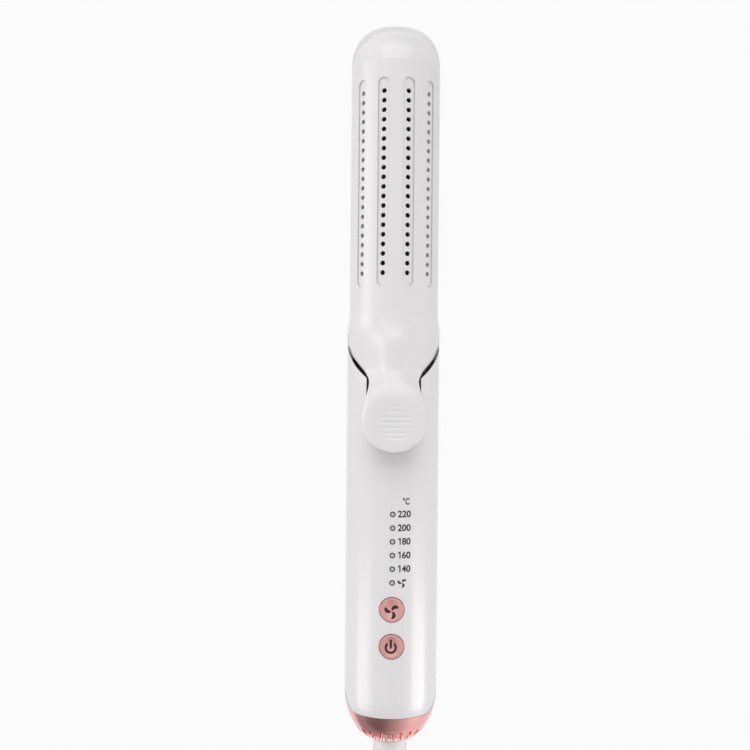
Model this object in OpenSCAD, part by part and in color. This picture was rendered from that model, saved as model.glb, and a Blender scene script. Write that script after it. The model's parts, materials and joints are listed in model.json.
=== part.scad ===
// Airflow hair curler: two half-round heated arms on a round handle, and a lever that opens the front arm.
// The curler lies on its back: +Y runs from the cord to the tip, +X is to the right, +Z is up.
// Most shapes are drawn about the handle's axis, with y as the distance from the pole of the rounded end.

/* [Handle] */
// Outer diameter of the handle
handle_d = 38; // [37:0.5:42]
// Length of the handle, from the pole of its rounded end to the barrel seam
handle_len = 171; // [168:1:190]
// Wall of the handle shells
handle_wall = 2.2; // [1.8:0.1:2.5]
// Height of the rounded end
butt_h = 22.6; // [20:0.1:24]
// Roundness of the rounded end: 2 is an ellipse
butt_n = 2.18; // [2:0.02:2.6]
// Where the white shells end, above the pole
skirt_y = 14.5; // [13:0.5:16]
// Number of air slots in the rounded end
intake_count = 22; // [16:1:24]
// Width of an air slot
intake_w = 1.8; // [1.2:0.1:2]
// Radius that the air slots reach out to
intake_r = 15.05; // [13.5:0.05:15.5]

/* [Barrel] */
// Outer diameter of the barrel
barrel_d = 36.6; // [35.5:0.1:38]
// Length of the barrel, from the seam to the pole of its tip
barrel_len = 125.3; // [122:0.1:140]
// Wall of the arm shells
arm_wall = 1.8; // [1.4:0.1:1.9]
// Height of the rounded tip
tip_h = 19.2; // [16:0.1:21]
// How far the rear arm reaches past the front arm
tip_step = 3.4; // [2:0.1:5]
// Gap between the closed arms
parting = 1; // [0.6:0.1:1.4]
// Length of the flare at the root of the barrel
flare_len = 4.7; // [3:0.1:6]

/* [Air channels] */
// Channels on each arm
channel_count = 4; // [2:1:4]
// Angle between two channels
channel_step = 32.5; // [28:0.5:34]
// Width of a channel
channel_w = 4.7; // [4:0.1:5.5]
// Depth of a channel
channel_depth = 0.6; // [0.3:0.1:0.8]
// Air holes in each channel
vent_count = 20; // [12:1:20]
// Diameter of an air hole
vent_d = 2; // [1.4:0.1:2.4]
// Distance between two air holes
vent_step = 3.825; // [3.2:0.025:3.9]
// First air hole above the seam
vent_start = 21.3; // [20:0.1:24]

/* [Lever and hinge] */
// Hinge axis below the seam
hinge_back = 14; // [12:0.5:15]
// Hinge axis above the handle's axis
hinge_z = 8; // [7:0.1:8.5]
// Opening angle of the front arm
open_angle = 10; // [6:0.5:10]
// Radius of the thumb paddle
paddle_r = 12.85; // [11:0.05:14]
// Paddle's centre below the hinge axis
paddle_back = 23.35; // [22:0.05:26]
// Half the width of the lever's waist
waist_x = 9.9; // [9:0.1:10.2]
// Thickness of the lever
lever_t = 3.3; // [2.8:0.1:4]
// Clearance left under the pressed lever
lever_gap = 0.4; // [0.4:0.1:1]
// Diameter of the hinge pin
pin_d = 3; // [2.5:0.1:3.2]

/* [Heater plates] */
// Width of a plate
plate_w = 25.6; // [22:0.2:25.8]
// Plate above the seam
plate_start = 12; // [10:0.5:13]
// Plate's end below the pole of the tip
plate_end = 19.3; // [19:0.1:30]
// Thickness of a plate
plate_t = 2; // [1.6:0.1:2]
// Gap between the closed plates
plate_gap = 0.3; // [0.2:0.1:0.6]
// Float of the front plate
plate_float = 0.8; // [0.4:0.1:0.8]

/* [Buttons and indicators] */
// Diameter of a button
button_d = 9.7; // [8:0.1:10]
// Travel of a button
button_travel = 0.6; // [0.3:0.1:0.8]
// Power button above the pole
power_y = 43.5; // [42:0.5:46]
// Distance between the buttons
button_step = 14.7; // [14:0.1:16]
// Number of indicators
led_count = 6; // [3:1:6]
// Distance between two indicators
led_step = 5.44; // [4.5:0.02:5.6]
// First indicator above the fan button
led_start = 10.7; // [10:0.1:13]

/* [Fan] */
// Room between the fan wheel and the handle's wall
fan_room = 4; // [4:0.1:5.5]
// Number of blades
blade_count = 7; // [5:1:9]

/* [Cord] */
// Diameter of the swivel collar
collar_d = 14.1; // [13:0.1:14.5]
// Length of the swivel and its tapered strain relief outside the handle
relief_len = 47.7; // [40:0.1:60]
// Diameter of the cord
cord_d = 6; // [5:0.5:7]

/* [Hidden] */
$fn = 72;

handle_r = handle_d / 2;
barrel_r = barrel_d / 2;
tip_y = handle_len + barrel_len;
// The box of the curler without its cord is centred on Y = 0.
mid_y = (tip_y - relief_len) / 2;
reach = 2 * (tip_y + relief_len);

// Clearances: a seat, a press fit, a running fit and a bonded fit
seat = 0.3;
fit = 0.05;
run = 0.06;
bond = 0.02;
collar_fit = 0.09;

// Rounded ends
handle_in = handle_r - handle_wall;
barrel_in = barrel_r - arm_wall;
tip_n = 2.5;
front_tip_n = 2.3;
front_tip_back = 2;
nose_t = 2.6;
root_r = handle_r - fit;

// Lower edge of the white shells: a straight edge with elliptical corners
skirt_w = 4.8;
skirt_h = 7;
skirt_x = handle_r - 0.65;

// Hinge and lever
hinge_y = handle_len - hinge_back;
slot_x = waist_x + 1.05;
slot_y = hinge_y - 16;
ear_x = 5.6;
ear_w = 4.2;
ear_r = 3.6;
bush_r = pin_d / 2 + 0.9;
post_x = ear_x + ear_w + 0.4;
post_w = 2;
post_r = 3;
base_t = 1.6;
base_room = 0.55;
base_z = base_t + base_room - sqrt(pow(handle_in, 2) - pow(post_x + post_w, 2));
base_y = 5.5;
bracket_screw_x = 7;
arm_spigot_y = hinge_y + base_y + 2 * seat;
ridge_z = handle_r + 2.2;
neck_z = handle_in - 1;

// Plates
carrier_wall = 1;
carrier_x = plate_w / 2 + seat + carrier_wall;
carrier_rim = 0.8;
carrier_floor = 1.4;
film_t = 0.3;
heater_t = 2;
heater_back = plate_gap / 2 + plate_t + film_t + heater_t;
carrier_seat = heater_back + plate_float + 0.95;
carrier_back = carrier_seat + carrier_floor;
carrier_end = 1.4;
plate_y = handle_len + plate_start;
plate_len = barrel_len - plate_start - plate_end;
pad_steps = [0.24, 0.5, 0.76];
carrier_screw_steps = [0.37, 0.63];
screw_r = 1;
screw_head_r = 1.9;
screw_head_t = 0.7;
screw_clear = 0.2;
post_out_r = 2.4;

// Buttons, boards and switches
fan_y = power_y + button_step;
led_y = fan_y + led_start;
button_gap = 0.3;
flange_r = button_d / 2 + 1.45;
flange_z = handle_in - 1.25;
flange_t = 1;
board_t = 1.6;
board_z = handle_in - 7.8;
board_x = handle_in - 4.8;
board_y = 39.5;
board_end = led_y + led_count * led_step + 5;
frame_t = 1.6;
switch_w = 6;
switch_z = flange_z - flange_t - button_travel - 0.2;
plunger_r = 1.7;
board_screw_x = board_x - 2.8;
board_screw_ys = [board_y + 8.5, board_end - 5];
power_board_z = 10.8 - handle_in;
power_screw_ys = [board_y + 15, board_end - 9];
case_screw_x = handle_in - 4.5;
boss_r = 2.6;
case_head_z = 8.8 - handle_in;
case_screw_z = 6;
case_screw_back = 24;
case_screw_ys = [board_end + 7, hinge_y - case_screw_back];

// Fan
fan_r = handle_in - fan_room;
fan_y0 = butt_h + 3;
fan_h = 8.5;
hub_r = 5.2;
hub_h = 5.5;
motor_r = 5;
motor_y = fan_y0 + fan_h - 0.5;
motor_len = 9;
shaft_r = 0.75;
ring_in = fan_r + 0.5;
ring_out = ring_in + 1.1;
strut_h = 2;

// Swivel
collar_r = collar_d / 2;
lip_r = collar_r + 2.9;
seat_y = 4.3;
flange_h = 1.5;
retainer_y = seat_y + flange_h + 2 * seat;
retainer_h = 1.2;
spindle_r = 3.4;
block_y = retainer_y + retainer_h;
block_len = 12.4;
spigot_out = handle_in - 1.3;
spigot_in = spigot_out - 2;
spigot_y = butt_h + 0.6;
lead_notch = 8;
intake_in = lip_r + 0.3 + intake_w / 2;
intake_out = intake_r - intake_w / 2;

// Cord and its hank
cord_r = cord_d / 2;
relief_end_r = 4.5;
hank_x = 8;
hank_near = 80;
hank_run = 64;
hank_out_r = 24;
hank_in_r = 18;
hank_layers = 5;
hank_top = hank_layers * cord_d;

plug_w = 35.3;
plug_h = 13.8;
plug_len = 36;
plug_pin_d = 4;
plug_pin_len = 19;
plug_pin_step = 18.6;
plug_slope = 15;
plug_neck = 13;
plug_tail = 20;
plug_x = 14;
plug_z = hank_top + plug_h / 2;
tail_back = 113;
plug_back = tail_back - plug_tail;

// Routes as x, distance behind the strain relief, and height above the table.
// The cord sinks to the table and moves over to the hank's outer turn.
cord_route = [
    [0, 0, handle_r], [0, 14, handle_r], [-0.5, 20, 18.5], [-1.5, 25, 17.5], [-3, 30.5, 16],
    [-5, 36, 14], [-8, 43, 11], [-11, 50, 8], [-13, 55.5, 6], [-14.5, 61, 4.5],
    [-15.5, 66, 3.5], [-16, 72, 3], [-16, hank_near, 3]
];

// The lead climbs on top of the hank, turns back at its far end and meets the plug's tail
plug_route = [
    [-10, hank_near, 27], [-10, 86, 27.5], [-10, 91, 28.5], [-10, 96, 30], [-10, 101, 31.5],
    [-10, 106, 32.5], [-10, 112, 33], [-10.5, 118, 33], [-11.5, 123, 33], [-13, 128, 33],
    [-14.5, 133, 33], [-15.5, 138, 33], [-16, 144, 33], [-13.5, 153, 33], [-7, 159.5, 33],
    [2, 162, 33], [11, 159.5, 33], [17.5, 153, 33], [20, 144, 33], [20, 138, 33],
    [19, 132, 33.5], [17.5, 127, 34.5], [15.5, 122, 36], [14.5, 118.5, 36.5], [plug_x, 115, plug_z],
    [plug_x, tail_back, plug_z]
];

// Points of a quarter of a superellipse, from its pole to its rim
function dome(r, h, n, step = 6) =
    [for (u = [90:-step:0]) [r * pow(max(cos(u), 0), 2 / n), h * pow(max(sin(u), 0), 2 / n)]];

// Points of a cubic curve between a and d, drawn towards b and c
function curve(a, b, c, d, steps = 10) =
    [for (i = [0:steps]) let (t = i / steps, v = 1 - t)
        v * v * v * a + 3 * v * v * t * b + 3 * v * t * t * c + t * t * t * d];

function unit(v) = v / norm(v);

// Direction of a route at point i
function heading(p, i) = unit(p[min(i + 1, len(p) - 1)] - p[max(i - 1, 0)]);

// A tube swept along points p, with its rings turned about the upright reference
module tube(p, r, sides = 10, ref = [1, 0, 0]) {
    rings = [for (i = [0:len(p) - 1])
        let (t = heading(p, i), a = unit(cross(t, ref)), b = cross(t, a))
        [for (k = [0:sides - 1]) p[i] + r * (cos(360 * k / sides) * a + sin(360 * k / sides) * b)]];
    points = [for (ring = rings) each ring];
    last = (len(p) - 1) * sides;
    walls = [for (i = [0:len(p) - 2]) for (k = [0:sides - 1])
        let (n = (k + 1) % sides)
        [i * sides + k, i * sides + n, (i + 1) * sides + n, (i + 1) * sides + k]];
    polyhedron(points, concat([[for (k = [sides - 1:-1:0]) k]], walls, [[for (k = [0:sides - 1]) last + k]]));
}

module in_place() translate([0, -mid_y, handle_r]) children();

module behind_relief() translate([0, -mid_y - relief_len, 0]) mirror([0, 1, 0]) children();

module revolve(points) rotate([-90, 0, 0]) rotate_extrude() polygon(points);

module round_bar(r, y0, y1) translate([0, y0, 0]) rotate([-90, 0, 0]) cylinder(r = r, h = y1 - y0);

module front_half(z = 0) translate([-reach / 2, -reach / 2, z]) cube([reach, reach, reach]);

module rear_half(z = 0) translate([-reach / 2, -reach / 2, -reach - z]) cube([reach, reach, reach]);

module front_prism() translate([0, 0, -reach / 2]) linear_extrude(reach) children();

module cross_bar(r, x0, x1) translate([x0, hinge_y, hinge_z]) rotate([0, 90, 0]) cylinder(r = r, h = x1 - x0);

module pair() for (side = [-1, 1]) scale([side, 1, 1]) children();

module both(x) for (side = [-1, 1]) translate([side * x, 0, 0]) children();

// Outer form of the handle, taken in by a wall
module handle_form(inset, top = handle_len) {
    rim = dome(handle_r - inset, butt_h - inset, butt_n);
    revolve(concat([for (p = rim) [p[0], butt_h - p[1]]], [[handle_r - inset, top], [0, top]]));
}

// Outer form of an arm, taken in by a wall
module arm_form(inset, r, end_y, h, n, root, root_y) {
    rim = dome(r - inset, h - inset, n);
    rows = [for (i = [len(rim) - 1:-1:0]) [rim[i][0], end_y - h + rim[i][1]]];
    revolve(concat([[0, root_y], [root - inset, root_y], [root - inset, handle_len],
        [r - inset, handle_len + flare_len]], rows));
}

module front_arm_form(inset) {
    front_end = tip_y - tip_step;
    arm_form(inset, barrel_r, front_end, front_end - (tip_y - tip_h - front_tip_back), front_tip_n,
        root_r, slot_y);
}

module rear_arm_form(inset) arm_form(inset, barrel_r, tip_y, tip_h, tip_n, root_r - 0.1, handle_len);

// The white shells' outline at the rounded end, seen from the front
module skirt(grow = 0) {
    cy = skirt_y + skirt_h;
    cx = skirt_x - skirt_w;
    corner = [for (u = [0:15:90]) [cx + (skirt_w + grow) * cos(u), cy - (skirt_h + grow) * sin(u)]];
    right = concat([[handle_r + 1, reach], [handle_r + 1, cy - grow], [skirt_x + grow, cy - grow]], corner);
    polygon(both_sides(right));
}

// The front arm's outline at its root, seen from the front
function arm_edge() = curve([handle_r, hinge_y + 7.85], [handle_r - 0.4, hinge_y + 1.05],
    [waist_x + 0.4, hinge_y - 3.55], [waist_x, hinge_y - 8.15]);

// The edge of the handle's cut-out for the arm
function scoop_edge() = curve([handle_r + 0.2, hinge_y + 7.35], [handle_r - 0.8, hinge_y - 0.95],
    [slot_x + 1.65, hinge_y - 5.25], [slot_x, hinge_y - 6.85]);

// The side of the lever from the waist to the paddle
function lever_edge() = curve([waist_x, hinge_y - 8.15], [waist_x, hinge_y - 12.5],
    [paddle_r, hinge_y - paddle_back + 5.3], [paddle_r, hinge_y - paddle_back]);

// Closes an outline given by its right-hand side
function both_sides(right) = concat(right, [for (i = [len(right) - 1:-1:0]) [-right[i][0], right[i][1]]]);

module scoop() {
    edge = scoop_edge();
    polygon(both_sides(concat([[handle_r + 1, reach], [handle_r + 1, edge[0][1]]], edge, [[slot_x, slot_y]])));
}

module arm_outline() {
    edge = arm_edge();
    polygon(both_sides(concat([[handle_r + 1, reach], [handle_r + 1, edge[0][1]]], edge)));
}

module lever_outline() {
    cy = hinge_y - paddle_back;
    ridge = curve([5, hinge_y + 15], [8.5, hinge_y + 8], [waist_x, hinge_y - 2], [waist_x, hinge_y - 8.15], 6);
    end = [for (u = [7.5:7.5:90]) [paddle_r * cos(u), cy - paddle_r * sin(u)]];
    polygon(both_sides(concat(ridge, lever_edge(), end)));
}

// Height of the lever's underside: it clears the handle by lever_gap when the arm is open
function under(dy) = hinge_z + (handle_r + lever_gap - hinge_z - dy * sin(open_angle)) / cos(open_angle);

lever_end = -paddle_back - paddle_r - 0.5;
lever_top = [
    [15, root_r - 1], [13, root_r + 0.1], [9.5, ridge_z - 1.1], [6, ridge_z - 0.3], [2, ridge_z],
    [-2, ridge_z + 0.2], [-5, ridge_z + 1], [-8, under(-8) + lever_t - 1], [-11.5, under(-11.5) + lever_t],
    [-16, under(-16) + lever_t + 0.2], [-paddle_back, under(-paddle_back) + lever_t],
    [lever_end, under(lever_end) + 2.4]
];
lever_under = [
    [lever_end, under(lever_end)], [-13.7, under(-13.7)], [-11.5, neck_z + 4.8], [-9, neck_z + 2.7],
    [-7, neck_z + 0.7], [-3, neck_z], [15, neck_z]
];

module lever() {
    intersection() {
        linear_extrude(reach) lever_outline();
        translate([-handle_r, hinge_y, 0]) rotate([90, 0, 90])
            linear_extrude(handle_d) polygon(concat(lever_top, lever_under));
    }
}

dish_r = 55;
dish_depth = 0.9;
grip_step = 2;

// A shallow dish in the paddle, with cross grooves in an oval for the thumb
module thumb_dish() {
    top = under(-paddle_back) + lever_t;
    translate([0, hinge_y - paddle_back, top + dish_r - dish_depth]) {
        sphere(r = dish_r);
        intersection() {
            sphere(r = dish_r + 0.35);
            translate([0, 0, -dish_r - 5]) linear_extrude(10) grip_oval();
            for (i = [-3.5:3.5]) translate([-10, i * grip_step - 0.5, -dish_r - 5]) cube([20, 1, 10]);
        }
    }
}

module grip_oval() polygon([for (a = [0:15:345]) [6.2 * cos(a), 7.8 * sin(a)]]);

// One air channel with its holes, on the side that faces up
module air_channel() {
    y0 = handle_len + vent_start;
    y1 = y0 + (vent_count - 1) * vent_step;
    difference() {
        translate([0, 0, barrel_in]) linear_extrude(2 * arm_wall) {
            translate([-channel_w / 2, y0 - 3]) square([channel_w, y1 - y0 + 6]);
            for (y = [y0 - 3, y1 + 3]) translate([0, y]) circle(d = channel_w);
        }
        round_bar(barrel_r - channel_depth, y0 - 10, y1 + 10);
    }
    for (i = [0:vent_count - 1]) translate([0, y0 + i * vent_step, barrel_in - 1])
        cylinder(d = vent_d, h = arm_wall + 2, $fn = 24);
}

module air_channels() {
    for (i = [0:channel_count - 1])
        rotate([0, (i - (channel_count - 1) / 2) * channel_step, 0]) air_channel();
}

module upright(x, y, z0, z1, r) translate([x, y, z0]) cylinder(r = r, h = z1 - z0, $fn = 32);

module screw(x, y, z0, z1, head_z, up = 1) {
    top = head_z + up * screw_head_t;
    upright(x, y, min(z0, top), max(z1, top), screw_r);
    upright(x, y, min(head_z, top), max(head_z, top), screw_head_r);
}

module handle_front_shell() {
    color("white") in_place() {
        difference() {
            union() {
                difference() {
                    intersection() {
                        handle_form(0);
                        front_half();
                        front_prism() difference() {
                            skirt();
                            scoop();
                        }
                    }
                    handle_form(handle_wall, handle_len + 1);
                }
                intersection() {
                    handle_form(handle_wall / 2);
                    union() {
                        for (y = board_screw_ys) both(board_screw_x)
                            upright(0, y, board_z + board_t, handle_r, post_out_r);
                        for (y = case_screw_ys) both(case_screw_x) upright(0, y, 0, handle_r, boss_r);
                    }
                }
            }
            for (y = [power_y, fan_y]) upright(0, y, flange_z, handle_r + 1, button_d / 2 + button_gap);
            for (i = [0:led_count - 1]) upright(0, led_y + i * led_step, flange_z, handle_r + 1, 1.15);
            for (y = board_screw_ys) both(board_screw_x)
                upright(0, y, board_z, board_z + board_t + 2.4, screw_r + fit);
            for (y = case_screw_ys) both(case_screw_x) upright(0, y, -1, case_screw_z + 0.5, screw_r + fit);
        }
    }
}

module handle_rear_shell() {
    color("white") in_place() {
        difference() {
            union() {
                difference() {
                    intersection() {
                        handle_form(0);
                        rear_half();
                        front_prism() skirt();
                    }
                    handle_form(handle_wall, handle_len + 1);
                }
                intersection() {
                    handle_form(handle_wall / 2);
                    union() {
                        for (y = power_screw_ys) both(board_screw_x)
                            upright(0, y, -handle_r, power_board_z - board_t, post_out_r);
                        both(bracket_screw_x) upright(0, hinge_y, -handle_r, base_z - base_t, post_out_r);
                        for (y = case_screw_ys) both(case_screw_x) upright(0, y, -handle_r, 0, boss_r);
                    }
                }
            }
            for (y = power_screw_ys) both(board_screw_x)
                upright(0, y, power_board_z - board_t - 4, 0, screw_r + fit);
            both(bracket_screw_x) upright(0, hinge_y, base_z - base_t - 3.4, 0, screw_r + fit);
            for (y = case_screw_ys) both(case_screw_x) {
                upright(0, y, -handle_r, 1, screw_r + screw_clear);
                upright(0, y, -handle_r - 1, case_head_z, screw_head_r + seat);
            }
        }
    }
}

module case_screws() {
    color("silver") in_place()
        for (y = case_screw_ys) both(case_screw_x) screw(0, y, case_head_z, case_screw_z, case_head_z, -1);
}

module end_cap() {
    color("rosybrown") in_place() {
        difference() {
            union() {
                difference() {
                    handle_form(0, skirt_y + skirt_h);
                    handle_form(handle_wall, handle_len);
                    front_prism() skirt(0.15);
                }
                difference() {
                    round_bar(spigot_out, 11, spigot_y);
                    round_bar(spigot_in, 10, spigot_y + 1);
                    translate([-lead_notch / 2, spigot_y - 4.2, -handle_r])
                        cube([lead_notch, butt_h, lead_notch]);
                }
                difference() {
                    intersection() {
                        handle_form(0);
                        round_bar(lip_r, 0, block_y);
                    }
                    round_bar(lip_r - 1.1, seat_y, block_y + 1);
                }
            }
            round_bar(collar_r + collar_fit, -1, block_y);
            for (i = [0:intake_count - 1]) rotate([0, 360 * i / intake_count, 0]) intake_slot();
        }
    }
}

module intake_slot() {
    rotate([-90, 0, 0]) linear_extrude(12) {
        translate([-intake_w / 2, intake_in]) square([intake_w, intake_out - intake_in]);
        for (v = [intake_in, intake_out]) translate([0, v]) circle(d = intake_w, $fn = 20);
    }
}

module intake_filter() {
    color("gray") in_place() difference() {
        round_bar(spigot_out, spigot_y, spigot_y + 1);
        round_bar(3, spigot_y - 1, spigot_y + 2);
        translate([-lead_notch / 2, spigot_y - 1, -handle_r]) cube([lead_notch, 3, lead_notch]);
    }
}

module rear_arm_shell() {
    color("white") in_place() {
        difference() {
            union() {
                difference() {
                    intersection() {
                        rear_arm_form(0);
                        rear_half(parting / 2);
                    }
                    rear_arm_form(arm_wall);
                    translate([0, -1, 0]) round_bar(barrel_in, handle_len, handle_len + 2);
                    rotate([0, 180, 0]) air_channels();
                }
                intersection() {
                    difference() {
                        union() {
                            round_bar(handle_in - fit, arm_spigot_y, handle_len + 2.5);
                            round_bar(barrel_r - 0.4, handle_len, handle_len + 2.5);
                        }
                        round_bar(handle_in - 2.2, arm_spigot_y - 1, handle_len + 3);
                    }
                    rear_half(parting / 2);
                }
                carrier_posts(-1);
                rear_nose();
            }
            carrier_pilots(-1);
        }
    }
}

// The solid end of the rear arm, which shows past the front arm's tip
module rear_nose() {
    intersection() {
        rear_arm_form(0);
        rear_half(parting / 2);
        translate([-handle_r, tip_y - tip_step - nose_t, -handle_r]) cube([handle_d, handle_d, handle_d]);
    }
}

// Posts inside an arm, which the plate carrier is screwed to
module carrier_posts(side) {
    for (s = carrier_screw_steps) intersection() {
        round_bar(barrel_r - arm_wall / 2, handle_len, tip_y);
        rotate([0, side > 0 ? 0 : 180, 0]) upright(0, plate_y + s * plate_len, carrier_back, barrel_r, boss_r);
    }
}

module carrier_pilots(side) {
    for (s = carrier_screw_steps) rotate([0, side > 0 ? 0 : 180, 0])
        upright(0, plate_y + s * plate_len, carrier_back - 1, carrier_back + 5, screw_r + fit);
}

module front_arm_shell() {
    color("white") in_place() {
        difference() {
            union() {
                difference() {
                    intersection() {
                        front_arm_form(0);
                        front_half(parting / 2);
                        front_prism() arm_outline();
                    }
                    front_arm_form(arm_wall);
                    round_bar(root_r - arm_wall, slot_y - 1, slot_y + 1);
                    air_channels();
                }
                lever();
                hinge_ears();
                carrier_posts(1);
            }
            carrier_pilots(1);
            thumb_dish();
            cross_bar(bush_r + fit, -ear_x - ear_w - 1, ear_x + ear_w + 1);
            cross_bar(ear_r + 1, -ear_x, ear_x);
        }
    }
}

// Ears under the lever's neck, which turn on the hinge pin
module hinge_ears() {
    intersection() {
        round_bar(root_r - arm_wall / 2, slot_y, handle_len);
        pair() {
            cross_bar(ear_r, ear_x, ear_x + ear_w);
            translate([ear_x, hinge_y - ear_r, hinge_z]) cube([ear_w, 2 * ear_r, neck_z + 1 - hinge_z]);
        }
    }
}

module hinge_bushes() {
    color("khaki") in_place() pair() difference() {
        cross_bar(bush_r, ear_x, ear_x + ear_w);
        cross_bar(pin_d / 2 + run, ear_x - 1, ear_x + ear_w + 1);
    }
}

module hinge_pin() {
    color("silver") in_place() cross_bar(pin_d / 2, -post_x - post_w, post_x + post_w);
}

module hinge_bracket() {
    color("dimgray") in_place() difference() {
        union() {
            translate([-post_x - post_w, hinge_y - base_y, base_z - base_t])
                cube([2 * (post_x + post_w), 2 * base_y, base_t]);
            pair() {
                cross_bar(post_r, post_x, post_x + post_w);
                translate([post_x, hinge_y - post_r, base_z - base_t / 2])
                    cube([post_w, 2 * post_r, hinge_z - base_z + base_t / 2]);
            }
        }
        cross_bar(pin_d / 2 + fit, -handle_r, handle_r);
        both(bracket_screw_x) upright(0, hinge_y, base_z - base_t - 1, base_z + 1, screw_r + screw_clear);
    }
}

module bracket_screws() {
    color("silver") in_place() both(bracket_screw_x) screw(0, hinge_y, base_z - base_t - 3, base_z, base_z, 1);
}

spring_wire_r = 0.5;
spring_r = pin_d / 2 + 1.4;
spring_coils = 6;

// Torsion spring round the pin: one leg under the lever's neck, the other on the bracket's base
module hinge_spring() {
    turns = [for (a = [0:30:360 * spring_coils]) [
        -4 + 8 * a / (360 * spring_coils), hinge_y - spring_r * cos(a), hinge_z + spring_r * sin(a)]];
    up_leg = [-4, hinge_y - spring_r - 3.5, neck_z - spring_wire_r - 0.2];
    down_leg = [4, hinge_y - spring_r - 0.4, base_z + spring_wire_r + 0.1];
    color("lightgray") in_place()
        tube(concat([up_leg, [-4, hinge_y - spring_r - 0.1, hinge_z - 1.5]], turns, [down_leg]),
            spring_wire_r, 6, [1, 0, 0]);
}

// Pieces of an arm between its shell and its plate: side is 1 in the front arm and -1 in the rear arm
module plate_carrier(side) {
    y0 = plate_y - seat - carrier_end;
    y1 = plate_y + plate_len + seat + carrier_end;
    rotate([0, side > 0 ? 0 : 180, 0]) difference() {
        intersection() {
            translate([-carrier_x, y0, carrier_rim]) cube([2 * carrier_x, y1 - y0, carrier_back - carrier_rim]);
            front_arm_form(arm_wall + seat);
        }
        translate([-carrier_x + carrier_wall, y0 + carrier_end, 0])
            cube([2 * (carrier_x - carrier_wall), y1 - y0 - 2 * carrier_end, carrier_seat]);
        for (s = carrier_screw_steps) {
            upright(0, plate_y + s * plate_len, 0, carrier_back + 1, screw_r + screw_clear);
            upright(0, plate_y + s * plate_len, 0, carrier_seat + 0.8, screw_head_r + screw_clear);
        }
    }
}

module carrier_screws(side) {
    rotate([0, side > 0 ? 0 : 180, 0]) for (s = carrier_screw_steps)
        screw(0, plate_y + s * plate_len, carrier_seat, carrier_back + 4.5, carrier_seat + 0.1, 1);
}

module slab(side, half_x, y0, y1, z0, z1) {
    rotate([0, side > 0 ? 0 : 180, 0]) translate([-half_x, y0, z0]) cube([2 * half_x, y1 - y0, z1 - z0]);
}

module heater_plate(side) {
    slab(side, plate_w / 2, plate_y, plate_y + plate_len, plate_gap / 2, plate_gap / 2 + plate_t);
}

module insulation(side) {
    z = plate_gap / 2 + plate_t;
    slab(side, plate_w / 2 - 4, plate_y + 4, plate_y + plate_len - 4, z, z + film_t);
}

module heater(side) {
    z = plate_gap / 2 + plate_t + film_t;
    slab(side, plate_w / 2 - 5.5, plate_y + 7, plate_y + plate_len - 7, z, z + heater_t);
}

module plate_pads(side) {
    for (s = pad_steps) {
        y = plate_y + s * plate_len;
        slab(side, 5, y - 6, y + 6, heater_back, carrier_seat);
    }
}

// A small sensor on the back of a plate, beside the heater
module plate_sensor(side, r, length) {
    y = plate_y + plate_len / 2;
    x = plate_w / 2 - r - 0.6;
    translate([x, 0, side * (plate_gap / 2 + plate_t + r + fit)]) round_bar(r, y - length / 2, y + length / 2);
}

module front_plate_carrier() color("dimgray") in_place() plate_carrier(1);
module rear_plate_carrier() color("dimgray") in_place() plate_carrier(-1);
module front_carrier_screws() color("silver") in_place() carrier_screws(1);
module rear_carrier_screws() color("silver") in_place() carrier_screws(-1);
module front_heater_plate() color("gray") in_place() heater_plate(1);
module rear_heater_plate() color("gray") in_place() heater_plate(-1);
module front_insulation() color("peru") in_place() insulation(1);
module rear_insulation() color("peru") in_place() insulation(-1);
module front_heater() color("darkkhaki") in_place() heater(1);
module rear_heater() color("darkkhaki") in_place() heater(-1);
module front_plate_pads() color("tomato") in_place() plate_pads(1);
module rear_plate_pads() color("tomato") in_place() plate_pads(-1);
module front_thermistor() color("black") in_place() plate_sensor(1, 0.9, 5);
module thermal_fuse() color("beige") in_place() plate_sensor(-1, 1.2, 9);

button_dish_r = 28.3;
button_dish = 0.3;

// A push button: the cap is flush with the handle, and the flange below holds it in
module button(y) {
    difference() {
        intersection() {
            upright(0, y, flange_z - 0.5, handle_r, button_d / 2);
            round_bar(handle_r, 0, handle_len);
        }
        translate([0, y, handle_r + button_dish_r - button_dish]) sphere(r = button_dish_r);
    }
    upright(0, y, flange_z - flange_t, flange_z - seat, flange_r);
}

module fan_button() color("rosybrown") in_place() button(fan_y);
module power_button() color("rosybrown") in_place() button(power_y);

plunger_len = button_travel + 1.5;

module plunger(y) upright(0, y, flange_z - flange_t - plunger_len, flange_z - flange_t, plunger_r);

module fan_switch_plunger() color("black") in_place() plunger(fan_y);
module power_switch_plunger() color("black") in_place() plunger(power_y);

module switch_bodies() {
    color("black") in_place() for (y = [power_y, fan_y]) difference() {
        translate([-switch_w / 2, y - switch_w / 2, board_z + board_t])
            cube([switch_w, switch_w, switch_z - board_z - board_t]);
        upright(0, y, board_z + board_t + 0.6, switch_z + 1, plunger_r + seat);
    }
}

pipe_r = 0.9;
pipe_x = 1.5;

// The six indicators' light pipes, joined by a bar under the shell
module indicator_light_pipe() {
    color("whitesmoke") in_place() intersection() {
        round_bar(handle_r, 0, handle_len);
        union() {
            for (i = [0:led_count - 1])
                upright(0, led_y + i * led_step, board_z + board_t + 1.4, handle_r, pipe_r);
            translate([-pipe_x, led_y - 2, handle_in - 1.4])
                cube([2 * pipe_x, (led_count - 1) * led_step + 4, 1.1]);
        }
    }
}

module indicator_leds() {
    color("white") in_place() for (i = [0:led_count - 1])
        translate([-1, led_y + i * led_step - 1, board_z + board_t]) cube([2, 2, 1]);
}

module control_board() {
    color("darkgreen") in_place() difference() {
        translate([-board_x, board_y, board_z]) cube([2 * board_x, board_end - board_y, board_t]);
        for (y = board_screw_ys) both(board_screw_x)
            upright(0, y, board_z - 1, board_z + board_t + 1, screw_r + screw_clear);
    }
}

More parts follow.
